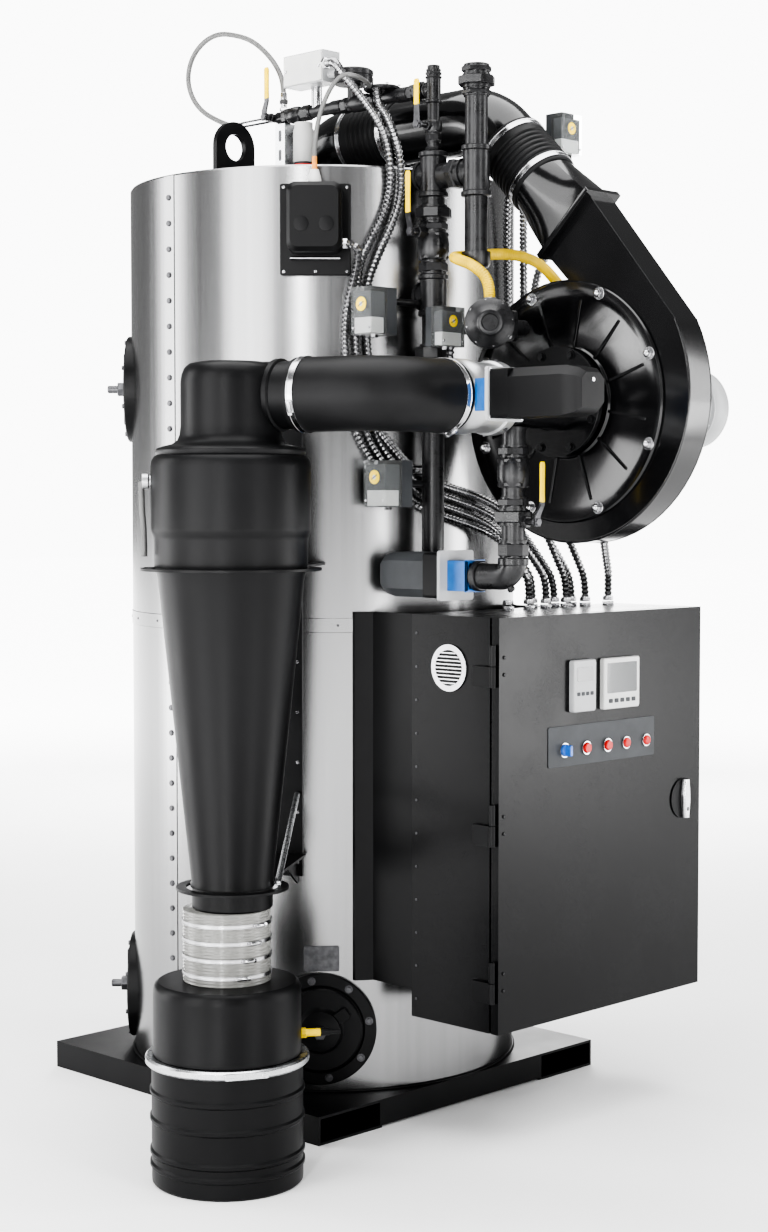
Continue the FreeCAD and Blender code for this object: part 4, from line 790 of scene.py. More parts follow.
def make_actuator(node, x, start, way, level, length, finish):
    """An angular damper actuator: mounting plate, black band and a chamfered cap."""
    axis = Y * way
    made = Shape("grey_paint")
    made.prism(rounded(106, 106, 6), 8, (x, start, level), axis)
    made.use("black_plastic").prism(rounded(96, 96, 8), 46, (x, start + way * 8, level), axis)
    cap = [(-48, -48), (30, -48), (48, -30), (48, 30), (30, 48), (-30, 48), (-48, 30)]
    place = upright((x, start, level), axis)
    rings = []
    for height, share in ((54, 1), (length - 42, 1), (length - 12, 0.88), (length, 0.7)):
        rings.append([place @ Vector((px * share, py * share, height)) for px, py in cap])
    made.use(finish).loft(rings)
    made.use("bright_steel")
    for px in (-46, 46):
        for py in (-46, 46):
            made.screw(place @ Vector((px, py, 7.6)), axis, 4, px)
    made.screw(place @ Vector((0, 20, length - 0.5)), axis, 4.5)
    made.done(node + "_made", (node,), bevel=1.2)


def make_air_hose():
    """The ribbed air hose from the cyclone's neck round to the valve."""
    corner = NECK_END + HEADING * ((INTAKE_Y - NECK_END.y) / HEADING.y)
    ahead = (VALVE_START - corner).normalized()
    into, away = corner - HEADING * 98, corner + ahead * 98
    path = [NECK_END, NECK_END + HEADING * 30]
    for n in range(19):
        path.append(into.lerp(corner, n / 18).lerp(corner.lerp(away, n / 18), n / 18))
    path += [VALVE_START - ahead * 30, VALVE_START]
    hose = Shape("black_rubber")
    hose.tube(path, HOSE, 56, (12, 0.25))
    hose.done("air_hose", ("inlet_hose",), bevel=0, angle=60)


def make_bands():
    """Two bands on the air hose and four on the drop hose."""
    bands = Shape("bright_steel")
    bands.clamp(HOSE + 0.3, 14, VALVE_START - X * 15, X, 250)
    bands.clamp(HOSE + 0.3, 14, NECK_END + HEADING * 16, HEADING, 200)
    base = span("drum_collar")[1].z
    for rise in (19, 53, 87, 121):
        bands.clamp(88.8, 7.5, (DRUM_X, DRUM_Y, base + rise), Z, -118 + rise / 4)
    bands.done("band_clamps", ("hose_clamps",), bevel=0.2)


def make_air_valve():
    """The aluminium valve body with bolts round its far flange."""
    valve = Shape("aluminium")
    length = VALVE_HIGH.x - VALVE_LOW.x
    valve.lathe([(64, 0), (73, 2), (73, 16), (75.5, 20), (75.5, 48), (71, 52), (71, length - 44),
                 (75.5, length - 40), (75.5, length - 18), (64, length - 2), (62, length)],
                VALVE_START, X, 80)
    valve.use("dark_steel")
    for py, pz in around(71, 8, 12):
        out = Vector((0, py, pz)).normalized()
        valve.bolt(Vector((VALVE_HIGH.x - 29, INTAKE_Y, CENTRE_LEVEL)) + out * 75, out, 4)
    valve.done("air_valve_made", ("air_valve",), bevel=0.6)


def make_yokes():
    """The two blue yokes with their stand-offs and shafts, and an actuator on each."""
    yokes = Shape("blue_paint")
    low, high = span("actuator_brackets")
    for x, near, far, height in ((SHAFT_X, INTAKE_Y - 119, INTAKE_Y - 73, CENTRE_LEVEL),
                                 (high.x - 30, high.y - 54, high.y, low.z + 34)):
        for side in (-1, 1):
            wall = x + side * 27
            yokes.use("blue_paint").block((wall - 3, near, height - 32), (wall + 3, far, height + 32))
            yokes.use("light_plastic")
            for rise in (22, -22):
                yokes.lathe([(6, 0), (6, far - near)], (x + side * 16, near, height + rise), Y, 16)
        yokes.use("blue_paint").block((x - 30, near, height - 34), (x + 30, near + 5, height + 34))
        yokes.use("dark_steel").lathe([(9, 0), (9, far - near)], (x, near, height), Y, 24)
    yokes.done("actuator_yokes", ("actuator_brackets",), bevel=0.8)
    start = span("air_actuator")[1].y
    make_actuator("air_actuator", SHAFT_X, start, -1, CENTRE_LEVEL, 226, "black_plastic")
    low, high = span("gas_actuator")
    make_actuator("gas_actuator", low.x + 53.5, low.y, 1, (low.z + high.z) / 2, high.y - low.y, "dark_grey")


def make_intake_neck():
    """The pipe between the valve and the blower, with its bolted flange."""
    low, high = span("intake_neck")
    flange = Vector((high.x - 28, INTAKE_Y, CENTRE_LEVEL))
    neck = Shape("gloss_black")
    neck.lathe([(62, 0), (62, 12), (58, 15), (58, 150), (62, 156), (62, 179)],
               (low.x, INTAKE_Y, CENTRE_LEVEL), X, 72)
    neck.lathe([(116, 0), (116, 12), (114, 14), (92, 14), (90, 28)], flange, X, 72)
    neck.use("black_paint")
    for py, pz in around(103, 8, 22.5):
        neck.bolt(flange + Vector((0, py, pz)), -X, 7.5)
    neck.done("intake_neck_made", ("intake_neck",), bevel=0.8)


MOUTH_WIDE = 163  # the scroll's mouth, and its middle from the wheel's axis
MOUTH_SHIFT = 3
MOUTH_RISE = 375
BLOWER_Y, BLOWER_Z = centre("blower_plate").yz


def make_scroll():
    """The blower's scroll with rolled rims."""
    y, level = BLOWER_Y, BLOWER_Z
    outline = []
    for sweep in range(0, 301, 5):
        angle = math.radians(90 - sweep)
        reach = 257 + 0.22 * sweep
        outline.append((y + reach * math.cos(angle), level + reach * math.sin(angle)))
    half = MOUTH_WIDE / 2 * math.sqrt(0.5)
    outline += [(y + MOUTH_SHIFT - half, level + MOUTH_RISE + half),
                (y + MOUTH_SHIFT + half, level + MOUTH_RISE - half)]
    scroll = Shape("gloss_black")
    scroll.loft([[(x, py, pz) for py, pz in outline] for x in (-38.5, 38.5)])
    for x in (-35.5, 35.5):
        rim = [(x, y + (py - y) * 0.992, level + (pz - level) * 0.992) for py, pz in outline[:61]]
        scroll.tube(rim, 3.4, 10)
    scroll.done("blower_scroll", ("blower_housing",), bevel=1.2)


def make_inlet_plate():
    """The dished inlet plate with its ribs and cap nuts."""
    start = span("blower_plate")[0].x
    dish = Shape("gloss_black")
    hub = Vector((start + 8, BLOWER_Y, BLOWER_Z))
    dish.lathe([(254, 0), (255, 4), (252, 8), (226, 8), (221, 5.5), (120, 4), (116, 8)], hub, -X, 96)
    for turn in range(0, 360, 30):
        spot = Matrix.Rotation(math.radians(turn + 11), 4, "X")
        web = [hub + spot @ Vector((-rise, reach, side)) for side in (-3, 3)
               for reach, rise in ((118, 3), (218, 3), (216, 7), (118, 8))]
        dish.loft([web[:4], web[4:]])
    dish.use("bright_steel")
    for py, pz in around(240, 8, 22.5):
        dish.dome_nut((start + 0.4, BLOWER_Y + py, BLOWER_Z + pz), -X, 9)
    dish.done("blower_inlet_plate", ("blower_plate",), bevel=0.5)


def make_motor():
    """The motor with its flange, fins, fan cover and terminal box."""
    y, level = BLOWER_Y, BLOWER_Z
    hub = Vector((span("blower_motor")[0].x, y, level))
    motor = Shape("grey_paint")
    motor.lathe([(117, 0), (117, 12), (113, 14), (84, 14), (80, 20), (80, 330), (86, 333), (86, 340)],
                hub, X, 64)
    motor.lathe([(85, 335), (88, 340), (88, 382), (82, 392), (68, 394), (0, 394)], hub, X, 64)
    for turn in range(0, 360, 9):
        if 65 < turn < 115:
            continue
        spot = Matrix.Rotation(math.radians(turn), 4, "X")
        fin = [hub + spot @ Vector((along, side, reach)) for side in (-1.2, 1.2)
               for along, reach in ((30, 78), (325, 78), (325, 88.5), (30, 88.5))]
        motor.loft([fin[:4], fin[4:]])
    # painted shade: dark rings on the fan cover stand for its grille openings, in place of cut slots
    motor.use("dark_grey")
    for reach in (18, 32, 46, 60):
        motor.ring(reach + 3, reach - 3, 1.2, hub + X * 393.4, X)
    x = hub.x + 181
    motor.use("grey_paint").block((x - 40, y + 70, level - 33), (x + 40, y + 123, level + 33))
    motor.block((x - 39, y + 120, level - 32), (x + 39, y + 127, level + 32))
    motor.use("dark_steel")
    for py, pz in around(101, 8, 22.5):
        motor.bolt((hub.x + 13, y + py, level + pz), X, 7)
    motor.done("blower_motor_made", ("blower_motor",), bevel=0.7)


def make_ducts():
    """The outlet's lip, the ribbed couplings between bright bands, and the flange on the lid."""
    keep("blower_outlet", "gloss_black", 1)
    keep("air_duct", "gloss_black", 0)
    keep("burner_neck", "gloss_black", 0)
    slope = Vector((0, 1, 1)).normalized()
    mouth = Vector((0, BLOWER_Y + MOUTH_SHIFT, BLOWER_Z + MOUTH_RISE))
    lip = Shape("gloss_black")
    lip.prism(rounded(112, 186, 3), 12, mouth - slope * 6, slope, 0, 1)
    lip.use("dark_steel")
    place = upright(mouth, slope)
    for x in (-48, 48):
        for py in (-66, 0, 66):
            lip.bolt(place @ Vector((x, py, 6)), slope, 4)
    lip.done("mouth_flange", bevel=0.8)
    sleeves = Shape("black_rubber")
    for at, axis, length in ((mouth + slope * 130, slope, 140),
                             (Vector((0, -270, centre("duct_coupling").z)), Y, 160)):
        profile = [(74, 0), (76.5, 2), (76.5, 28)]
        for n in range(6):
            foot = 30 + n * (length - 62) / 6
            profile += [(73.6, foot + 2), (77.3, foot + 5), (77.3, foot + 9)]
        profile += [(76.5, length - 28), (76.5, length - 2), (74, length)]
        sleeves.use("black_rubber").lathe(profile, at, axis, 72)
        sleeves.use("bright_steel")
        for share in (15, length - 15):
            sleeves.clamp(76.6, 13, at + axis * share, axis, 200)
    sleeves.done("duct_sleeves", ("outlet_coupling", "duct_coupling"), bevel=0.3)
    foot = Shape("gloss_black")
    foot.lathe([(104, 0), (104, 11), (101, 13), (78, 13), (73, 22)], (0, 0, CROWN - 1), Z, 72)
    foot.use("dark_steel")
    for px, py in around(90, 8, 22.5):
        foot.bolt((px, py, CROWN + 12), Z, 7)
    foot.done("burner_flange", bevel=0.8)


# ---------------------------------------------------------------- gas train

PIPE = 24.15  # half of 48.3 mm, the size of 1 1/2 in pipe
SMALL_PIPE = 13.4
UNION = 40.1  # the union nut's radius on the larger pipe
STACKS_APART = 124
TRAIN_X = centre("gas_side_stack").x
SIDE_Y = span("gas_side_stack")[0].y + UNION
RISER_Y = SIDE_Y + STACKS_APART
LINE = joint_at("top_valve_turn").z  # the height of the line over the top


def fittings(shape, run, pipe, at, axis):
    """A run of pipe fittings, each with its own shape, as pairs of kind and length."""
    axis = Vector(axis)
    place = Vector(at)
    for kind, length in run:
        if kind == "pipe":
            shape.lathe([(pipe, -3), (pipe, length + 3)], place, axis, 36)
        elif kind == "rim":
            wide = pipe * 1.34
            shape.lathe([(wide - 3, 0), (wide, 2), (wide, length - 2), (wide - 3, length)], place, axis, 40)
        elif kind == "tee":
            wide = pipe * 1.18
            shape.lathe([(wide, -1), (wide, length + 1)], place, axis, 40)
            middle = place + axis * length / 2
            way = Y if abs(axis.z) > 0.5 else X
            shape.lathe([(wide * 0.95, 0), (wide * 0.95, pipe * 1.2), (pipe * 1.3, pipe * 1.22),
                         (pipe * 1.3, pipe * 1.5)], middle, way, 32)
        elif kind == "cap":
            wide = pipe * 1.28
            shape.lathe([(wide * 0.5, 0), (wide * 0.85, length * 0.1), (wide, length * 0.3), (wide, length)],
                        place, axis, 40)
        elif kind == "union":
            wide = pipe * 1.66
            shape.lathe([(wide * 0.74, 0), (wide * 0.74, length)], place, axis, 36)
            shape.lathe([(wide * 0.93, 0), (wide, 2), (wide, length * 0.6), (wide * 0.9, length * 0.66)],
                        place + axis * length * 0.18, axis, 8, 11)
        elif kind == "hex":
            shape.lathe([(pipe * 1.12, 0), (pipe * 1.12, length)], place, axis, 32)
            shape.hexagon(pipe * 1.32, length * 0.72, place + axis * length * 0.14, axis, 17)
        elif kind == "valve":
            wide = pipe * 1.42
            steps = [(0.82, 0), (0.86, 0.04), (0.98, 0.3), (1, 0.5), (0.98, 0.7), (0.86, 0.96), (0.82, 1)]
            shape.lathe([(wide * a, length * b) for a, b in steps], place, axis, 40)
            shape.hexagon(wide * 0.98, length * 0.2, place, axis, 5)
            shape.hexagon(wide * 0.98, length * 0.2, place + axis * length * 0.8, axis, 5)
        else:
            wide = pipe * 1.2
            shape.lathe([(wide, 0), (wide, length * 0.3), (pipe, length * 0.42), (pipe, length)],
                        place, axis, 36)
        place = place + axis * length
    return place


def make_riser():
    """The inner stack, with the bosses of its two valves and two rods across it."""
    riser = Shape("black_pipe")
    low = span("gas_riser")[0].z
    end = fittings(riser, [("cap", 42), ("pipe", 450), ("union", 40), ("pipe", 60), ("rim", 12), ("tee", 66),
                           ("rim", 12), ("hex", 30), ("valve", 60), ("hex", 24), ("union", 34), ("pipe", 16),
                           ("rim", 12), ("tee", 74), ("rim", 12)], PIPE, (TRAIN_X, RISER_Y, low), Z)
    fittings(riser, [("hex", 12), ("pipe", 8), ("hex", 20), ("valve", 27), ("pipe", 36), ("rim", 9),
                     ("tee", 44), ("rim", 6), ("hex", 10), ("reducer", 12)], SMALL_PIPE, end, Z)
    for name, start, reach, wide in (("riser_valve_turn", 30, 64, 7), ("pilot_valve_turn", 10, 44, 6)):
        spot = joint_at(name)
        spot.x = TRAIN_X - start
        riser.hexagon(wide * 1.9, reach * 0.35, spot, -X)
        riser.lathe([(wide, 0), (wide, reach - start)], spot, -X, 20)
    riser.use("bright_steel")
    for level in (low + 250, low + 268):
        riser.lathe([(3, -34), (3, 34)], (TRAIN_X, RISER_Y + 30, level), X, 12)
    riser.done("gas_riser_made", ("gas_riser",), bevel=0.5)


def make_side_stack():
    """The outer stack, open at its union, with a branch to the inner one."""
    side = Shape("black_pipe")
    low = span("gas_side_stack")[0].z
    fittings(side, [("cap", 36), ("pipe", 116), ("rim", 12), ("tee", 84), ("rim", 12), ("pipe", 102),
                    ("hex", 17), ("union", 30), ("hex", 20)], PIPE, (TRAIN_X, SIDE_Y, low), Z)
    branch = low + 206
    side.lathe([(27.7, 20), (27.7, 94)], (TRAIN_X, SIDE_Y, branch), Y, 36)
    side.hexagon(34, 22, (TRAIN_X, SIDE_Y + 46, branch), Y)
    side.done("gas_side_stack_made", ("gas_side_stack",), bevel=0.5)


def make_top_line():
    """The line over the top with its valve's boss, two low drums and a plug."""
    line = Shape("black_pipe")
    fittings(line, [("pipe", 10), ("union", 26), ("hex", 20), ("reducer", 100), ("hex", 22), ("valve", 60),
                    ("hex", 24), ("reducer", 98), ("hex", 36), ("valve", 40), ("hex", 20), ("pipe", 16)],
             SMALL_PIPE, (TRAIN_X, RISER_Y + SMALL_PIPE * 1.18, LINE), Y)
    line.hexagon(11, 8, joint_at("top_valve_turn") + X * 22, -X)
    line.lathe([(6, 0), (6, 20)], joint_at("top_valve_turn") + X * 27, -X, 20)
    for y, wide, rise, tall in ((RISER_Y + 244, 44, 42, 34), (RISER_Y + 154, 42, 16, 10)):
        line.lathe([(14, 0), (14, rise + 2)], (TRAIN_X, y, LINE), Z, 32)
        line.lathe([(wide - 3, 0), (wide, 3), (wide, tall * 0.42), (wide - 2, tall * 0.45),
                    (wide - 2, tall * 0.55), (wide, tall * 0.58), (wide, tall - 4), (wide - 6, tall)],
                   (TRAIN_X, y, LINE + rise), Z, 56)
    line.use("bright_steel")
    for px, py in around(38, 6):
        line.bolt((TRAIN_X + px, RISER_Y + 154 + py, LINE + 26), Z, 3.2, False)
    line.hexagon(10, 8, (TRAIN_X, -26, LINE + 14), Z)
    line.lathe([(7, 0), (7, 22)], (TRAIN_X, -26, LINE + 13), Z, 20)
    line.lathe([(7.5, 0), (7.5, 96), (6.5, 104)], (TRAIN_X, -6, LINE), Y, 20)
    line.use("black_pipe").hexagon(11, 14, (TRAIN_X, -10, LINE), Y)
    line.done("gas_top_line_made", ("gas_top_line",), bevel=0.4)


def make_drop_line():
    """The line from the valve down to the gas actuator, with its valve's boss."""
    drop = Shape("black_pipe")
    drop_at = joint_at("drop_valve_turn")
    x, y = drop_at.x, INTAKE_Y
    low = drop_at.z - 114
    bend = 34
    path = [(x, y, low + 40), (x, y, low + bend)]
    for n in range(13):
        turn = n * math.pi / 24
        path.append((x, y + bend - bend * math.cos(turn), low + bend - bend * math.sin(turn)))
    drop.tube(path + [(x, y + 104, low)], 27.2, 36)
    for spot, axis in (((x, y, low + 24), Z), ((x, y + 84, low), Y)):
        drop.lathe([(30, 0), (32, 2), (32, 14), (30, 16)], spot, axis, 40)
    drop.hexagon(8, 8, (x, y + 8, low - 22), Vector((0, -0.7, -0.7)))
    end = fittings(drop, [("hex", 40), ("pipe", 30), ("union", 36), ("hex", 24), ("pipe", 18), ("valve", 62),
                          ("hex", 26), ("pipe", 30)], PIPE, (x, y, low + 36), Z)
    drop.lathe([(26.5, -2), (26.5, CENTRE_LEVEL - end.z - 56)], end, Z, 36)
    drop.hexagon(14, 12, (x, y - 28, drop_at.z), -Y)
    drop.lathe([(7, 0), (7, 26)], (x, y - 30, drop_at.z), -Y, 20)
    drop.done("gas_drop_line_made", ("gas_drop_line",), bevel=0.5)


def make_levers():
    """Four quarter-turn levers: hub nut, dark cranked bar and a dipped yellow grip."""
    for valve, length, shift, axis in (("riser", 130, -6, -X), ("pilot", 96, 0, -X), ("top", 112, 8, -X),
                                       ("drop", 124, 14, -Y)):
        node = "valve_lever_" + valve
        high = span(node)[1]
        hub = joint_at(valve + "_valve_turn")
        if axis == -X:
            hub.x = high.x
        else:
            hub.y = high.y
        turned = upright(hub, axis)
        handle = Shape("dark_steel")
        handle.lathe([(9, 0), (9, 5)], hub, axis, 24)
        handle.hexagon(8.6, 7, hub + axis * 7, axis)
        bar = [(-7, -9), (7, -9), (7, 12), (shift + 6, 34), (shift + 6, 46), (shift - 6, 46), (shift - 6, 34),
               (-7, 14)]
        handle.loft([[turned @ Vector((px, py, level)) for px, py in bar] for level in (6.5, 11)])
        handle.use("yellow_grip")
        grip = []
        for height, wide, thick in ((40, 5, 2.4), (42, 7, 3), (60, 6.6, 3), (length - 6, 7, 3),
                                    (length - 1, 5, 2.2)):
            grip.append([turned @ Vector((shift + px, height, 8.9 + py)) for px, py in
                         rounded(wide * 2 - 0.2, thick * 2, thick * 0.8, 3)])
        handle.loft(grip)
        handle.done(node + "_made", (node,), body=node, slot="yellow_grip", bevel=0.3)


# ---------------------------------------------------------------- instruments and flexible lines

def make_switch(shape, low, size, out):
    """A pressure switch: dark base, and a clear cover over a yellow dial that faces outward."""
    low = Vector(low)
    out = Vector(out)
    high = low + Vector(size)
    middle = (low + high) / 2
    clear_high = high.copy()
    dark_low = low.copy()
    if out.x:
        clear_high.x = dark_low.x = low.x + size[0] * 0.62
    else:
        clear_high.y = dark_low.y = low.y + size[1] * 0.66
    shape.use("dark_grey").block(dark_low, high)
    shape.block(low + Vector((9, 9, 5)), clear_high - Vector((0, 0, 9)))
    shape.use("light_plastic").block((low.x + 6, low.y + 6, low.z + 3),
                                     (clear_high.x - 6, clear_high.y - 6, low.z + size[2] * 0.36))
    shape.use("clear_cover").block(low, clear_high)
    reach = abs(out.x) * size[0] / 2 + abs(out.y) * size[1] / 2
    face = middle + out * (reach - 0.4) + Z * size[2] * 0.14
    dial = size[2] * 0.15
    shape.use("yellow_dial").lathe([(dial, 0), (dial, 0.8), (size[2] * 0.13, 1.1)], face, out, 40)
    shape.use("light_plastic").lathe([(dial / 3, 0), (dial / 3, 1.4)], face, out, 24)
    shape.use("dark_steel").prism(rounded(size[2] * 0.2, 2, 0.5, 1), 1.7, face, out, 30)
    place = upright(middle + out * reach, out)
    wide = size[1] if out.x else size[0]
    shape.use("bright_steel")
    for px in (6 - wide / 2, wide / 2 - 6):
        shape.screw(place @ Vector((px, -size[2] * 0.36, -0.5)), out, 2.8, px)
    shape.hexagon(9, 7, (middle.x, middle.y, low.z - 6), Z)


def make_regulator():
    """The diaphragm regulator, its flange and the pipes to it."""
    y = INTAKE_Y + 92
    level = CENTRE_LEVEL + 159
    reg = Shape("black_pipe")
    out = Vector((-0.714, -0.700, 0)).normalized()
    at = Vector((TRAIN_X - 46, y - 10, level))
    reg.lathe([(26, 0), (30, 10), (40, 14), (52, 17), (52, 26), (50, 27), (50, 29), (52, 30), (52, 38),
               (40, 46), (29, 50), (26, 54), (26, 59), (22, 61), (18, 61), (16, 58), (0, 58)], at, out, 72)
    reg.use("bright_steel")
    place = upright(at, out)
    for px, py in around(46, 8, 10):
        reg.screw(place @ Vector((px, py, 39)), out, 3.4, px)
    reg.use("black_pipe")
    reg.lathe([(17, 0), (17, 40), (21, 42), (21, 60), (17, 62), (17, 132)], (-204, y, level), X, 32)
    reg.prism(rounded(64, 64, 8), 12, (-140, y, level), X)
    reg.use("bright_steel")
    for py in (-24, 24):
        for pz in (-24, 24):
            reg.bolt((-139.5, y + py, level + pz), -X, 4.5, False)
    reg.use("black_pipe").tube([(TRAIN_X + 12, y, level), (TRAIN_X + 12, RISER_Y - 20, level)], 11, 24)
    reg.hexagon(16, 14, (TRAIN_X + 12, y + 40, level), Y)
    reg.lathe([(13, 0), (13, 44)], (-182, y, level), Z, 24)
    reg.use("bright_steel").hexagon(15, 14, (-182, y, level + 44), Z)
    reg.done("diaphragm_regulator", ("regulator",), bevel=0.5)


def make_switches():
    """The four pressure switches and the pipes to them."""
    switches = Shape("dark_grey")
    make_switch(switches, (-226, RISER_Y - 97, CENTRE_LEVEL + 119), (70, 48, 84), -Y)
    make_switch(switches, (-330, RISER_Y + 11, CENTRE_LEVEL + 145), (78, 60, 100), -X)
    make_switch(switches, (-300, RISER_Y - 1, CENTRE_LEVEL - 221), (84, 64, 100), -X)
    make_switch(switches, (150, RISER_Y - 109, CENTRE_LEVEL + 566), (70, 46, 88), -Y)
    switches.use("black_pipe")
    switches.lathe([(8, 0), (8, 36)], (TRAIN_X - 15, RISER_Y - 60, CENTRE_LEVEL + 161), Y, 20)
    switches.lathe([(8, 0), (8, 78)], (-256, RISER_Y + 19, CENTRE_LEVEL + 217), X, 20)
    switches.lathe([(8, 0), (8, 46)], (-220, RISER_Y + 11, CENTRE_LEVEL - 171), X, 20)
    switches.lathe([(8, 0), (8, 52)], (200, RISER_Y - 86, CENTRE_LEVEL + 516), Z, 20)
    switches.lathe([(8, 0), (8, 80)], (72.5, RISER_Y - 86, CENTRE_LEVEL + 575), X, 20)
    switches.done("pressure_switches_made", ("pressure_switches",), bevel=1.0)


def make_junction_box():
    """The junction box on the line over the top."""
    low = Vector((TRAIN_X - 46, RISER_Y + 299, LINE + 54))
    high = Vector((TRAIN_X + 10, RISER_Y + 427, LINE + 124))
    box = Shape("grey_paint")
    box.block((low.x + 3, low.y, low.z), high)
    middle = (low + high) / 2
    box.use("light_plastic").prism(rounded(124, 66, 5), 4, (low.x + 4, middle.y, middle.z), -X, 0, 1)
    box.use("bright_steel")
    for py in (-54, 54):
        box.screw((low.x, middle.y + py, middle.z), -X, 4, py)
    box.lathe([(12, 0), (12, 50)], (TRAIN_X, RISER_Y + 363, LINE + 6), Z, 24)
    box.hexagon(14, 10, (low.x + 10, low.y - 8, LINE + 93), Y)
    box.done("junction_box_made", ("junction_box",), bevel=1.2)


def make_posts():
    """The slotted strut and the gauge that stand on the lid."""
    post = Shape("zinc")
    top = span("strut_post")[1].z
    x = TRAIN_X
    for low_x, low_y, high_x, high_y in ((-16, -46, -13, -14), (-13, -46, 16, -43), (-13, -17, 16, -14),
                                         (13, -43, 16, -37), (13, -23, 16, -17)):
        post.block((x + low_x, low_y, CROWN), (x + high_x, high_y, top))
    # painted shade: thin dark patches on the strut's face stand for its slots, in place of open holes
    post.use("dark_steel")
    for n in range(3):
        post.prism(rounded(9, 26, 4, 3), 0.4, (x - 16, -30, CROWN + 26 + n * 44), -X)
    gauge = Vector((x, RISER_Y + 407, CROWN))
    post.use("light_plastic").lathe([(23, 48), (24, 50), (24, 120), (21, 126), (21, 138)], gauge, Z, 40)
    post.use("dark_grey").lathe([(22, 0), (22, 48)], gauge, Z, 40)
    post.use("red_plastic")
    for n in range(4):
        post.lathe([(22, 0), (22.8, 1), (22.8, 4), (22, 5)], gauge + Z * (6 + n * 11), Z, 40)
    post.done("strut_and_gauge_posts", ("strut_post",), bevel=0.5)


CABINET_LOW, CABINET_HIGH = span("cabinet_box")

# each conduit's route from its upper end to its gland on the cabinet, written out in millimetres
CONDUIT_ROUTES = [
    [(-318.8, -390.4, 1915), (-295.1, -414.9, 1915), (-287, -408, 1880), (-286, -392, 1836),
     (-290, -372, 1780), (-292, -367, 1722), (-288, -370, 1660), (-280, -377, 1585), (-272, -381, 1510),
     (-234, -406, 1440), (-183, -431, 1384), (-124, -452, 1346), (-60, -465, 1328), (10, -474, 1310),
     (60, -487, 1290), (90, -512, 1256), (102, -544, 1206), (100, -560, 1185), (100, -560, 1144)],
    [(-186, -200, 2343), (-186, -222, 2343), (-215, -264, 2331), (-224, -300, 2296), (-217, -346, 2246),
     (-218, -400, 2188), (-215, -424, 2130), (-206, -425, 2080), (-205, -422, 2035), (-216, -415, 1988),
     (-240, -402, 1935), (-262, -388, 1882), (-268, -384, 1835), (-271, -382, 1778), (-272, -381, 1722),
     (-268, -384, 1665), (-261, -389, 1590), (-254, -393, 1515), (-222, -412, 1453), (-178, -433, 1406),
     (-124, -452, 1368), (-60, -465, 1350), (15, -473, 1330), (75, -480, 1306), (108, -494, 1262),
     (140, -516, 1212), (146, -530, 1185), (146, -530, 1144)],
    [(-184, -360, 2266), (-184, -360, 2236), (-190, -400, 2200), (-196, -436, 2132), (-190, -441, 2083),
     (-192, -443, 2026), (-205, -440, 1982), (-226, -428, 1929), (-242, -411, 1875), (-250, -396, 1832),
     (-252, -395, 1780), (-251, -396, 1722), (-247, -398, 1660), (-241, -402, 1590), (-235, -405, 1515),
     (-208, -420, 1463), (-172, -436, 1424), (-124, -452, 1390), (-58, -465, 1372), (20, -473, 1352),
     (88, -482, 1324), (130, -506, 1276), (153, -540, 1220), (159, -560, 1185), (159, -560, 1144)],
    [(-175, -572, 1692), (-175, -572, 1663), (-196, -562, 1648), (-236, -530, 1652), (-268, -497, 1668),
     (-290, -464, 1662), (-292, -440, 1625), (-272, -424, 1572), (-240, -424, 1518), (-200, -432, 1478),
     (-166, -440, 1444), (-122, -453, 1412), (-56, -466, 1394), (26, -474, 1376), (104, -477, 1346),
     (160, -487, 1296), (200, -509, 1232), (223, -530, 1185), (223, -530, 1144)],
    [(150, -300, 2091), (150, -300, 2139), (148, -370, 2165), (146, -425, 2150), (145, -462, 2100),
     (146, -452, 2050), (152, -444, 1960), (162, -439, 1838), (170, -437, 1700), (184, -432, 1560),
     (204, -438, 1430), (240, -466, 1320), (272, -504, 1236), (285, -530, 1185), (285, -530, 1144)],
    [(190, -260, 2091), (190, -260, 2153), (186, -350, 2180), (178, -430, 2160), (165, -482, 2090),
     (150, -497, 2007), (146, -500, 1930), (150, -498, 1842), (157, -494, 1700), (164, -491, 1560),
     (176, -494, 1430), (200, -512, 1320), (222, -540, 1230), (230, -560, 1185), (230, -560, 1144)],
    [(200, -585, 2089), (200, -585, 2045), (194, -566, 1985), (188, -540, 1930), (182, -512, 1885),
     (182, -499, 1830), (190, -498, 1700), (203, -497, 1560), (222, -504, 1430), (258, -520, 1320),
     (290, -544, 1230), (299, -560, 1185), (299, -560, 1144)],
    [(220, -677, 1540), (220, -677, 1490), (250, -650, 1410), (300, -606, 1330), (354, -574, 1250),
     (382, -562, 1200), (384, -560, 1185), (384, -560, 1144)]]
# the impulse hose, as x and then distances from the intake's centre line
IMPULSE_ROUTE = [
    (-182, 92, 217), (-182, 92, 252), (-202, 118, 284), (-198, 172, 302), (-166, 209, 312),
    (-108, 213, 318), (-44, 208, 328), (28, 198, 332), (82, 180, 317), (104, 150, 277), (100, 116, 237),
    (76, 92, 207), (39, 92, 207)]
SPARE_GLAND = (29, -560)


def make_conduits():
    """The coiled conduits, and their glands on the cabinet."""
    coils = Shape("conduit_steel")
    for route in CONDUIT_ROUTES:
        coils.tube(spline_path(route), 9.9, 14, (10, 3.2))
    coils.done("coiled_conduits", ("conduits",), bevel=0, angle=30)
    glands = Shape("bright_steel")
    top = CABINET_HIGH.z
    for x, y in [route[-1][:2] for route in CONDUIT_ROUTES] + [SPARE_GLAND]:
        glands.lathe([(14, 0), (14, 2)], (x, y, top), Z, 24)
        glands.hexagon(13.8, 7, (x, y, top + 2), Z)
        glands.hexagon(12.6, 9, (x, y, top + 11), Z, 20)
        glands.lathe([(11, 0), (11, 10)], (x, y, top + 12), Z, 24)
    glands.done("gland_nuts", ("conduit_glands",), bevel=0.3)


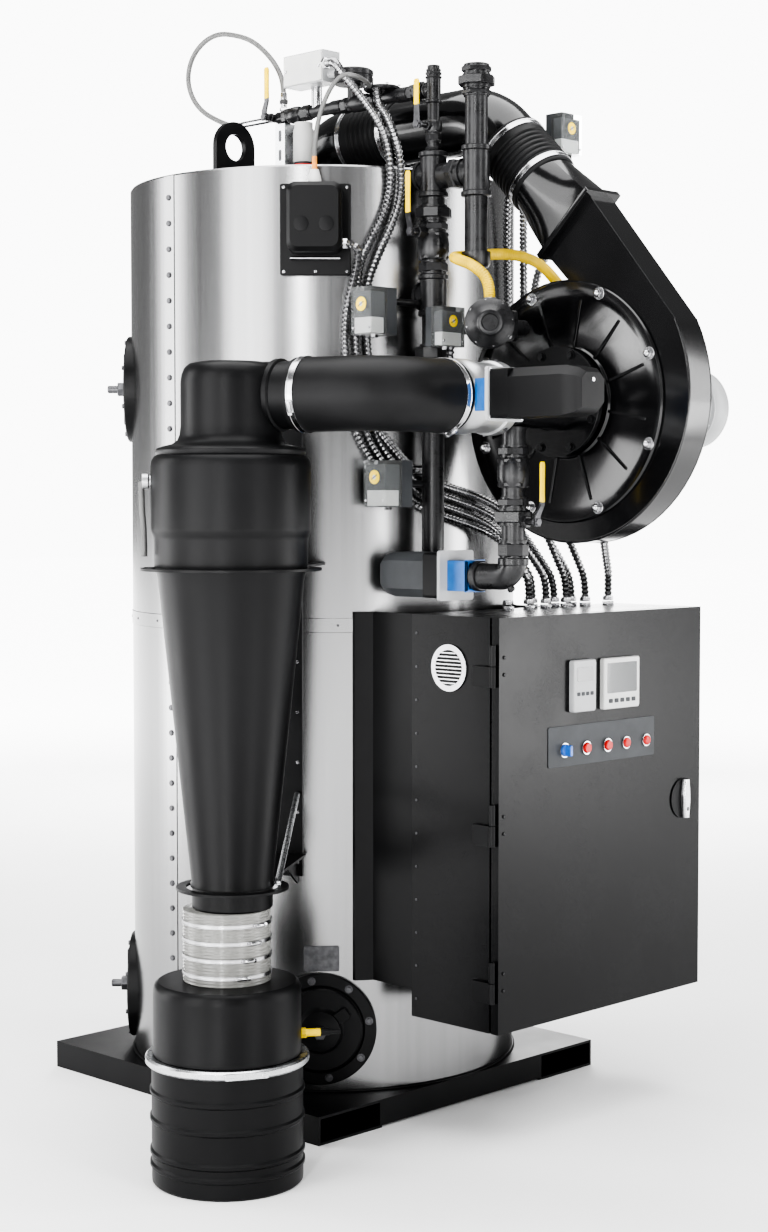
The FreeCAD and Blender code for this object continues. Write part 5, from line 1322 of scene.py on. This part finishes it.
def make_impulse_hose():
    """The ribbed yellow hose from the regulator to the blower's side."""
    y = INTAKE_Y
    hose = Shape("yellow_hose")
    path = spline_path([(x, y + reach, CENTRE_LEVEL + rise) for x, reach, rise in IMPULSE_ROUTE])
    hose.tube(path, 12.2, 20, (5, 1.0))
    hose.use("bright_steel").hexagon(13, 12, (40, y + 92, CENTRE_LEVEL + 207), X)
    hose.done("impulse_hose_ribbed", ("impulse_hose",), bevel=0, angle=30)


def make_probe_lead():
    """The probe's lead up to the line over the top, and the short grey tube at the junction box."""
    probe_top = bearing(PROBE_ANGLE, SHELL + 42, span("probe_box")[1].z)
    lead = Shape("light_plastic")
    lead.lathe([(16, -6), (13, 10), (9, 24)], probe_top, Z, 24)
    lead.use("copper_orange").tube([probe_top + Z * 22, probe_top + Z * 52], 6, 16, (4, 0.8))
    end_at = Vector((TRAIN_X - 38, RISER_Y + 154, LINE + 22))
    path = spline_path([probe_top + Z * 50, probe_top + Z * 120, probe_top.lerp(end_at, 0.4) + Z * 150,
                        end_at - Vector((60, 40, -6)), end_at])
    lead.use("hose_grey").tube(path, 5, 12)
    lead.done("probe_lead", bevel=0)
    tube = Shape("grey_paint")
    x = TRAIN_X - 20
    tube.tube([(x, RISER_Y + 299, LINE + 70), (x, RISER_Y + 244, LINE + 66)], 9, 18, (7, 1.6))
    tube.done("corrugated_link", bevel=0)


def make_loop():
    """The free loop and the ferrules at its ends."""
    first = Vector(LOOP_POINTS[0]) / MM
    last = Vector(LOOP_POINTS[-1]) / MM
    ferrules = Shape("bright_steel")
    for spot, axis in ((first - Z * 2, Z), (last - Y * 4, Y)):
        ferrules.lathe([(7.4, 0), (7.4, 20), (6.4, 22)], spot, axis, 20)
    ferrules.use("black_pipe").hexagon(10, 10, first - Z * 6, Z)
    ends = ferrules.done("loop_ferrules", bevel=0.2)
    loop.data.materials.append(MATERIALS["hose_grey"])
    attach(loop, ROOT)
    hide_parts("instrument_loop")


# ---------------------------------------------------------------- control cabinet

DOOR_FACE = span("cabinet_door")[0].y
CONTROL_LEVEL = CABINET_LOW.z + 581  # the height of the knob, buttons and lamps
KNOB_X = CABINET_LOW.x + 211


def make_display(shape, finish, at, case, glass, key, columns):
    """A case with a screen and a row of keys; sizes are width, height, and depth or rise."""
    front = at - Y * (case[2] - 0.2)
    shape.use(finish).prism(rounded(case[0], case[1], 5), case[2], at, -Y, 0, 2)
    shape.use("screen").prism(rounded(glass[0], glass[1], 2), 0.6, front + Z * glass[2], -Y)
    shape.use("dark_grey")
    for shift in columns:
        shape.prism(rounded(key[0], key[1], 2), 1.2, front + X * shift + Z * key[2], -Y)


def make_cabinet():
    """The cabinet's box and door, with the round vent and the screws on its left side."""
    for node in ("cabinet_box", "cabinet_door"):
        keep(node, "cabinet_black", 1.2)
    keep("cabinet_channels", "black_paint", 0.8)
    keep("hinge_leaves", "black_paint", 0.4)
    keep("gear_plate", "zinc", 0.5)
    low, high = CABINET_LOW, CABINET_HIGH
    vent = Shape("bright_steel")
    at = Vector((low.x, -625, 1013))
    hole = 38
    vent.ring(50, hole, 3.5, at, -X, 56)
    # painted shade: a dark disc behind the louvres stands for the vent's shaded opening
    vent.use("black_plastic").lathe([(hole, 0), (hole, 0.8)], at, -X, 56)
    vent.use("bright_steel")
    for n in range(-4, 5):
        half = math.sqrt(hole ** 2 - (n * 8) ** 2)
        vent.block((at.x - 4, at.y - half, at.z + n * 8 - 1.8), (at.x - 0.6, at.y + half, at.z + n * 8 + 1.2))
    vent.use("dark_steel")
    for n in range(12):
        vent.screw((low.x, high.y - 14, low.z + 40 + n * 72), -X, 3, n * 31)
    vent.done("cabinet_vent", bevel=0.3)


def make_gear():
    """Generic rail gear inside the cabinet: four rails with devices, and a duct below each."""
    low, high = CABINET_LOW, CABINET_HIGH
    gear = Shape("light_plastic")
    back = span("gear_plate")[0].y
    for row, level in enumerate((low.z + 120, low.z + 330, low.z + 540, low.z + 740)):
        gear.use("zinc").block((low.x + 50, back - 8, level - 17), (high.x - 50, back, level + 17))
        gear.use("grey_paint").block((low.x + 44, back - 45, level - 88), (high.x - 44, back, level - 58))
        x = low.x + 66
        n = 0
        while x < high.x - 110:
            wide = (18, 27, 45, 36)[(n + row) % 4]
            tall = (40, 45, 38, 44)[(n + row * 2) % 4]
            front = back - 50 - 8 * (n % 3)
            gear.use(("light_plastic", "dark_grey", "grey_paint")[(n + row) % 3])
            gear.block((x, front, level - tall), (x + wide - 1.5, back - 7, level + tall))
            gear.use("dark_steel").block((x + wide / 2 - 3, front - 10, level - 7),
                                         (x + wide / 2 + 3, front + 1, level + 7))
            x += wide
            n += 1
    gear.done("control_gear", slot="grey_paint", bevel=0.6)


def make_door_fittings():
    """The door's control panel, lamps, rings, displays and hinge screws."""
    face, left, base = DOOR_FACE, CABINET_LOW.x, CABINET_LOW.z
    fit = Shape("dark_grey")
    level = CONTROL_LEVEL
    fit.prism(rounded(369, 87, 5), 2, (left + 341.5, face, base + 589.5), -Y, 0, 0.6)
    for x in (left + 282, left + 355):
        fit.use("bright_steel").ring(15, 12.1, 5, (x, face - 1.6, level), -Y, 40)
    for x in (left + 422, left + 494):
        fit.use("bright_steel").ring(14, 10.8, 4, (x, face - 1.6, level), -Y, 40)
        lens = [(11, 0), (11, 6), (9, 8.4), (5, 9.2), (0, 9.4)]
        fit.use("red_plastic").lathe(lens, (x, face - 1.6, level), -Y, 36)
    fit.use("bright_steel").ring(16, 13.4, 2, (KNOB_X, face - 1.8, level), -Y, 40)
    make_display(fit, "grey_paint", Vector((left + 265.5, face, base + 717)), (75, 112, 14), (52, 30, 25),
                 (10, 8, -17), [n * 15 - 22.5 for n in range(4)])
    make_display(fit, "light_plastic", Vector((left + 396, face, base + 716)), (126, 112, 12), (104, 66, 12),
                 (13, 9, -38), [n * 20 - 40 for n in range(5)])
    handle = joint_at("handle_turn")
    fit.use("black_plastic").ring(46, 9.8, 3, (handle.x, face, handle.z), -Y, 72)
    fit.use("black_paint")
    for level_z in (base + 110, base + 440, base + 772):
        for n in (-1, 1):
            fit.screw((left + 16, face - 0.1, level_z + n * 18), -Y, 4, n * 30)
    fit.done("door_fittings_made", ("door_fittings",), body="cabinet_door", slot="black_plastic", bevel=0.5)


def make_door_handle():
    """The door's bright handle with its lock."""
    face = DOOR_FACE
    handle = joint_at("handle_turn")
    grip = Shape("bright_steel")
    grip.lathe([(8, -22), (8, 4)], (handle.x, face, handle.z), -Y, 32)
    grip.loft([[(handle.x + px * share, face - reach, handle.z + pz) for px, pz in
                ((-7, -44), (7, -44), (12, -8), (12, 8), (7, 44), (-7, 44), (-12, 8), (-12, -8))]
               for reach, share in ((4, 1), (12, 0.95), (15.6, 0.7))])
    grip.use("dark_steel").lathe([(5, 0), (5, 0.5)], (handle.x, face - 15.3, handle.z - 24), -Y, 20)
    grip.done("door_handle_made", ("door_handle",), body="door_handle", bevel=1)


def make_controls():
    """The selector knob and the two push buttons, each on its own body."""
    knob = Shape("blue_plastic")
    at = Vector((KNOB_X, DOOR_FACE, CONTROL_LEVEL))
    knob.lathe([(7, -12), (7, 3.2), (13, 3.4), (13, 8), (11.5, 9)], at, -Y, 40)
    knob.prism(rounded(8, 24, 3), 14, at - Y * 8, -Y, 0, 1)
    knob.use("light_plastic").block((at.x - 0.8, at.y - 22, at.z + 2), (at.x + 0.8, at.y - 21.6, at.z + 11))
    knob.done("selector_knob_made", ("selector_knob",), body="selector_knob", bevel=0.4)
    for node in ("reset_button_left", "reset_button_right"):
        at = centre(node)
        at.y = span(node)[1].y
        cap = Shape("red_plastic")
        cap.lathe([(10.9, 0), (10.9, 14.5), (9.6, 15.8), (0, 15.9)], at, -Y, 40)
        cap.done(node + "_made", (node,), body=node, bevel=0.3)


# ---------------------------------------------------------------- floor, light and background

WHITE = (1, 1, 1, 1)
BACKDROP = 3.2  # the far floor's brightness; the background is a little brighter
# name, angle round the boiler, distance, height, width, height of the panel, watts
LIGHTS = [
    ("key", -176, 4.2, 2.0, 2.0, 3.8, 120), ("strip", -146, 4.6, 1.9, 0.3, 3.8, 80),
    ("right", -100, 4.6, 1.9, 0.6, 3.8, 50), ("far_right", -50, 4.6, 2.0, 0.9, 3.8, 80),
    ("left_back", 130, 4.6, 2.0, 1.6, 3.8, 110), ("back", 40, 5.0, 2.6, 2.6, 3.0, 150),
    ("top", -135, 0.6, 6.5, 6.0, 6.0, 520)]


def area_light(name, angle, distance, height, width, tall, power):
    """A soft panel of light, facing the boiler; its place is in metres."""
    data = bpy.data.lights.new(name, "AREA")
    data.shape = "RECTANGLE"
    data.size = width
    data.size_y = tall
    data.energy = power
    lamp = bpy.data.objects.new(name, data)
    spot = bearing(angle, distance, height)
    lamp.location = spot
    lamp.rotation_euler = (spot - Vector((0, 0, 1.2))).to_track_quat("Z", "Y").to_euler()
    bpy.context.collection.objects.link(lamp)


def fading_floor():
    """The floor's finish, which brightens far from the boiler to meet the pale background."""
    tree = MATERIALS["floor"].node_tree
    shader = tree.nodes["Principled BSDF"]
    coords = tree.nodes.new("ShaderNodeTexCoord")
    distance = tree.nodes.new("ShaderNodeVectorMath")
    distance.operation = "LENGTH"
    share = tree.nodes.new("ShaderNodeMapRange")
    share.interpolation_type = "SMOOTHSTEP"
    share.inputs["From Min"].default_value = 1.4
    share.inputs["From Max"].default_value = 9
    share.inputs["To Max"].default_value = BACKDROP
    tree.links.new(coords.outputs["Object"], distance.inputs[0])
    tree.links.new(distance.outputs["Value"], share.inputs["Value"])
    tree.links.new(share.outputs["Result"], shader.inputs["Emission Strength"])
    shader.inputs["Emission Color"].default_value = WHITE


def make_studio():
    """A pale floor and soft panels of light in a pale room."""
    fading_floor()
    data = bpy.data.meshes.new("floor")
    data.from_pydata([(-40, -40, 0), (40, -40, 0), (40, 40, 0), (-40, 40, 0)], [], [(0, 1, 2, 3)])
    data.materials.append(MATERIALS["floor"])
    floor = bpy.data.objects.new("floor", data)
    bpy.context.collection.objects.link(floor)
    world = bpy.data.worlds.new("room")
    world.use_nodes = True
    tree = world.node_tree
    room = tree.nodes["Background"]
    room.inputs["Color"].default_value = WHITE
    room.inputs["Strength"].default_value = 0.3
    backdrop = tree.nodes.new("ShaderNodeBackground")
    backdrop.inputs["Color"].default_value = WHITE
    backdrop.inputs["Strength"].default_value = BACKDROP + 0.2
    path = tree.nodes.new("ShaderNodeLightPath")
    mix = tree.nodes.new("ShaderNodeMixShader")
    tree.links.new(path.outputs["Is Camera Ray"], mix.inputs["Fac"])
    tree.links.new(room.outputs["Background"], mix.inputs[1])
    tree.links.new(backdrop.outputs["Background"], mix.inputs[2])
    tree.links.new(mix.outputs["Shader"], tree.nodes["World Output"].inputs["Surface"])
    bpy.context.scene.world = world
    bpy.context.scene.view_settings.look = "AgX - High Contrast"
    for lamp in LIGHTS:
        area_light(*lamp)


for make in (make_jacket, make_seam, make_handhole_covers, make_cleanout, make_probe_box, make_skid,
             make_blank_plate, make_cyclone_body, make_cyclone_lid, make_cyclone_brackets, make_drum,
             make_drum_lid, make_drop_hose, make_level_sensor, make_air_hose, make_bands,
             make_air_valve, make_yokes, make_intake_neck, make_scroll, make_inlet_plate, make_motor,
             make_ducts, make_riser, make_side_stack, make_top_line, make_drop_line, make_levers,
             make_regulator, make_switches, make_junction_box, make_posts, make_conduits,
             make_impulse_hose, make_probe_lead, make_loop, make_cabinet, make_gear, make_door_fittings,
             make_door_handle, make_controls, make_studio):
    make()
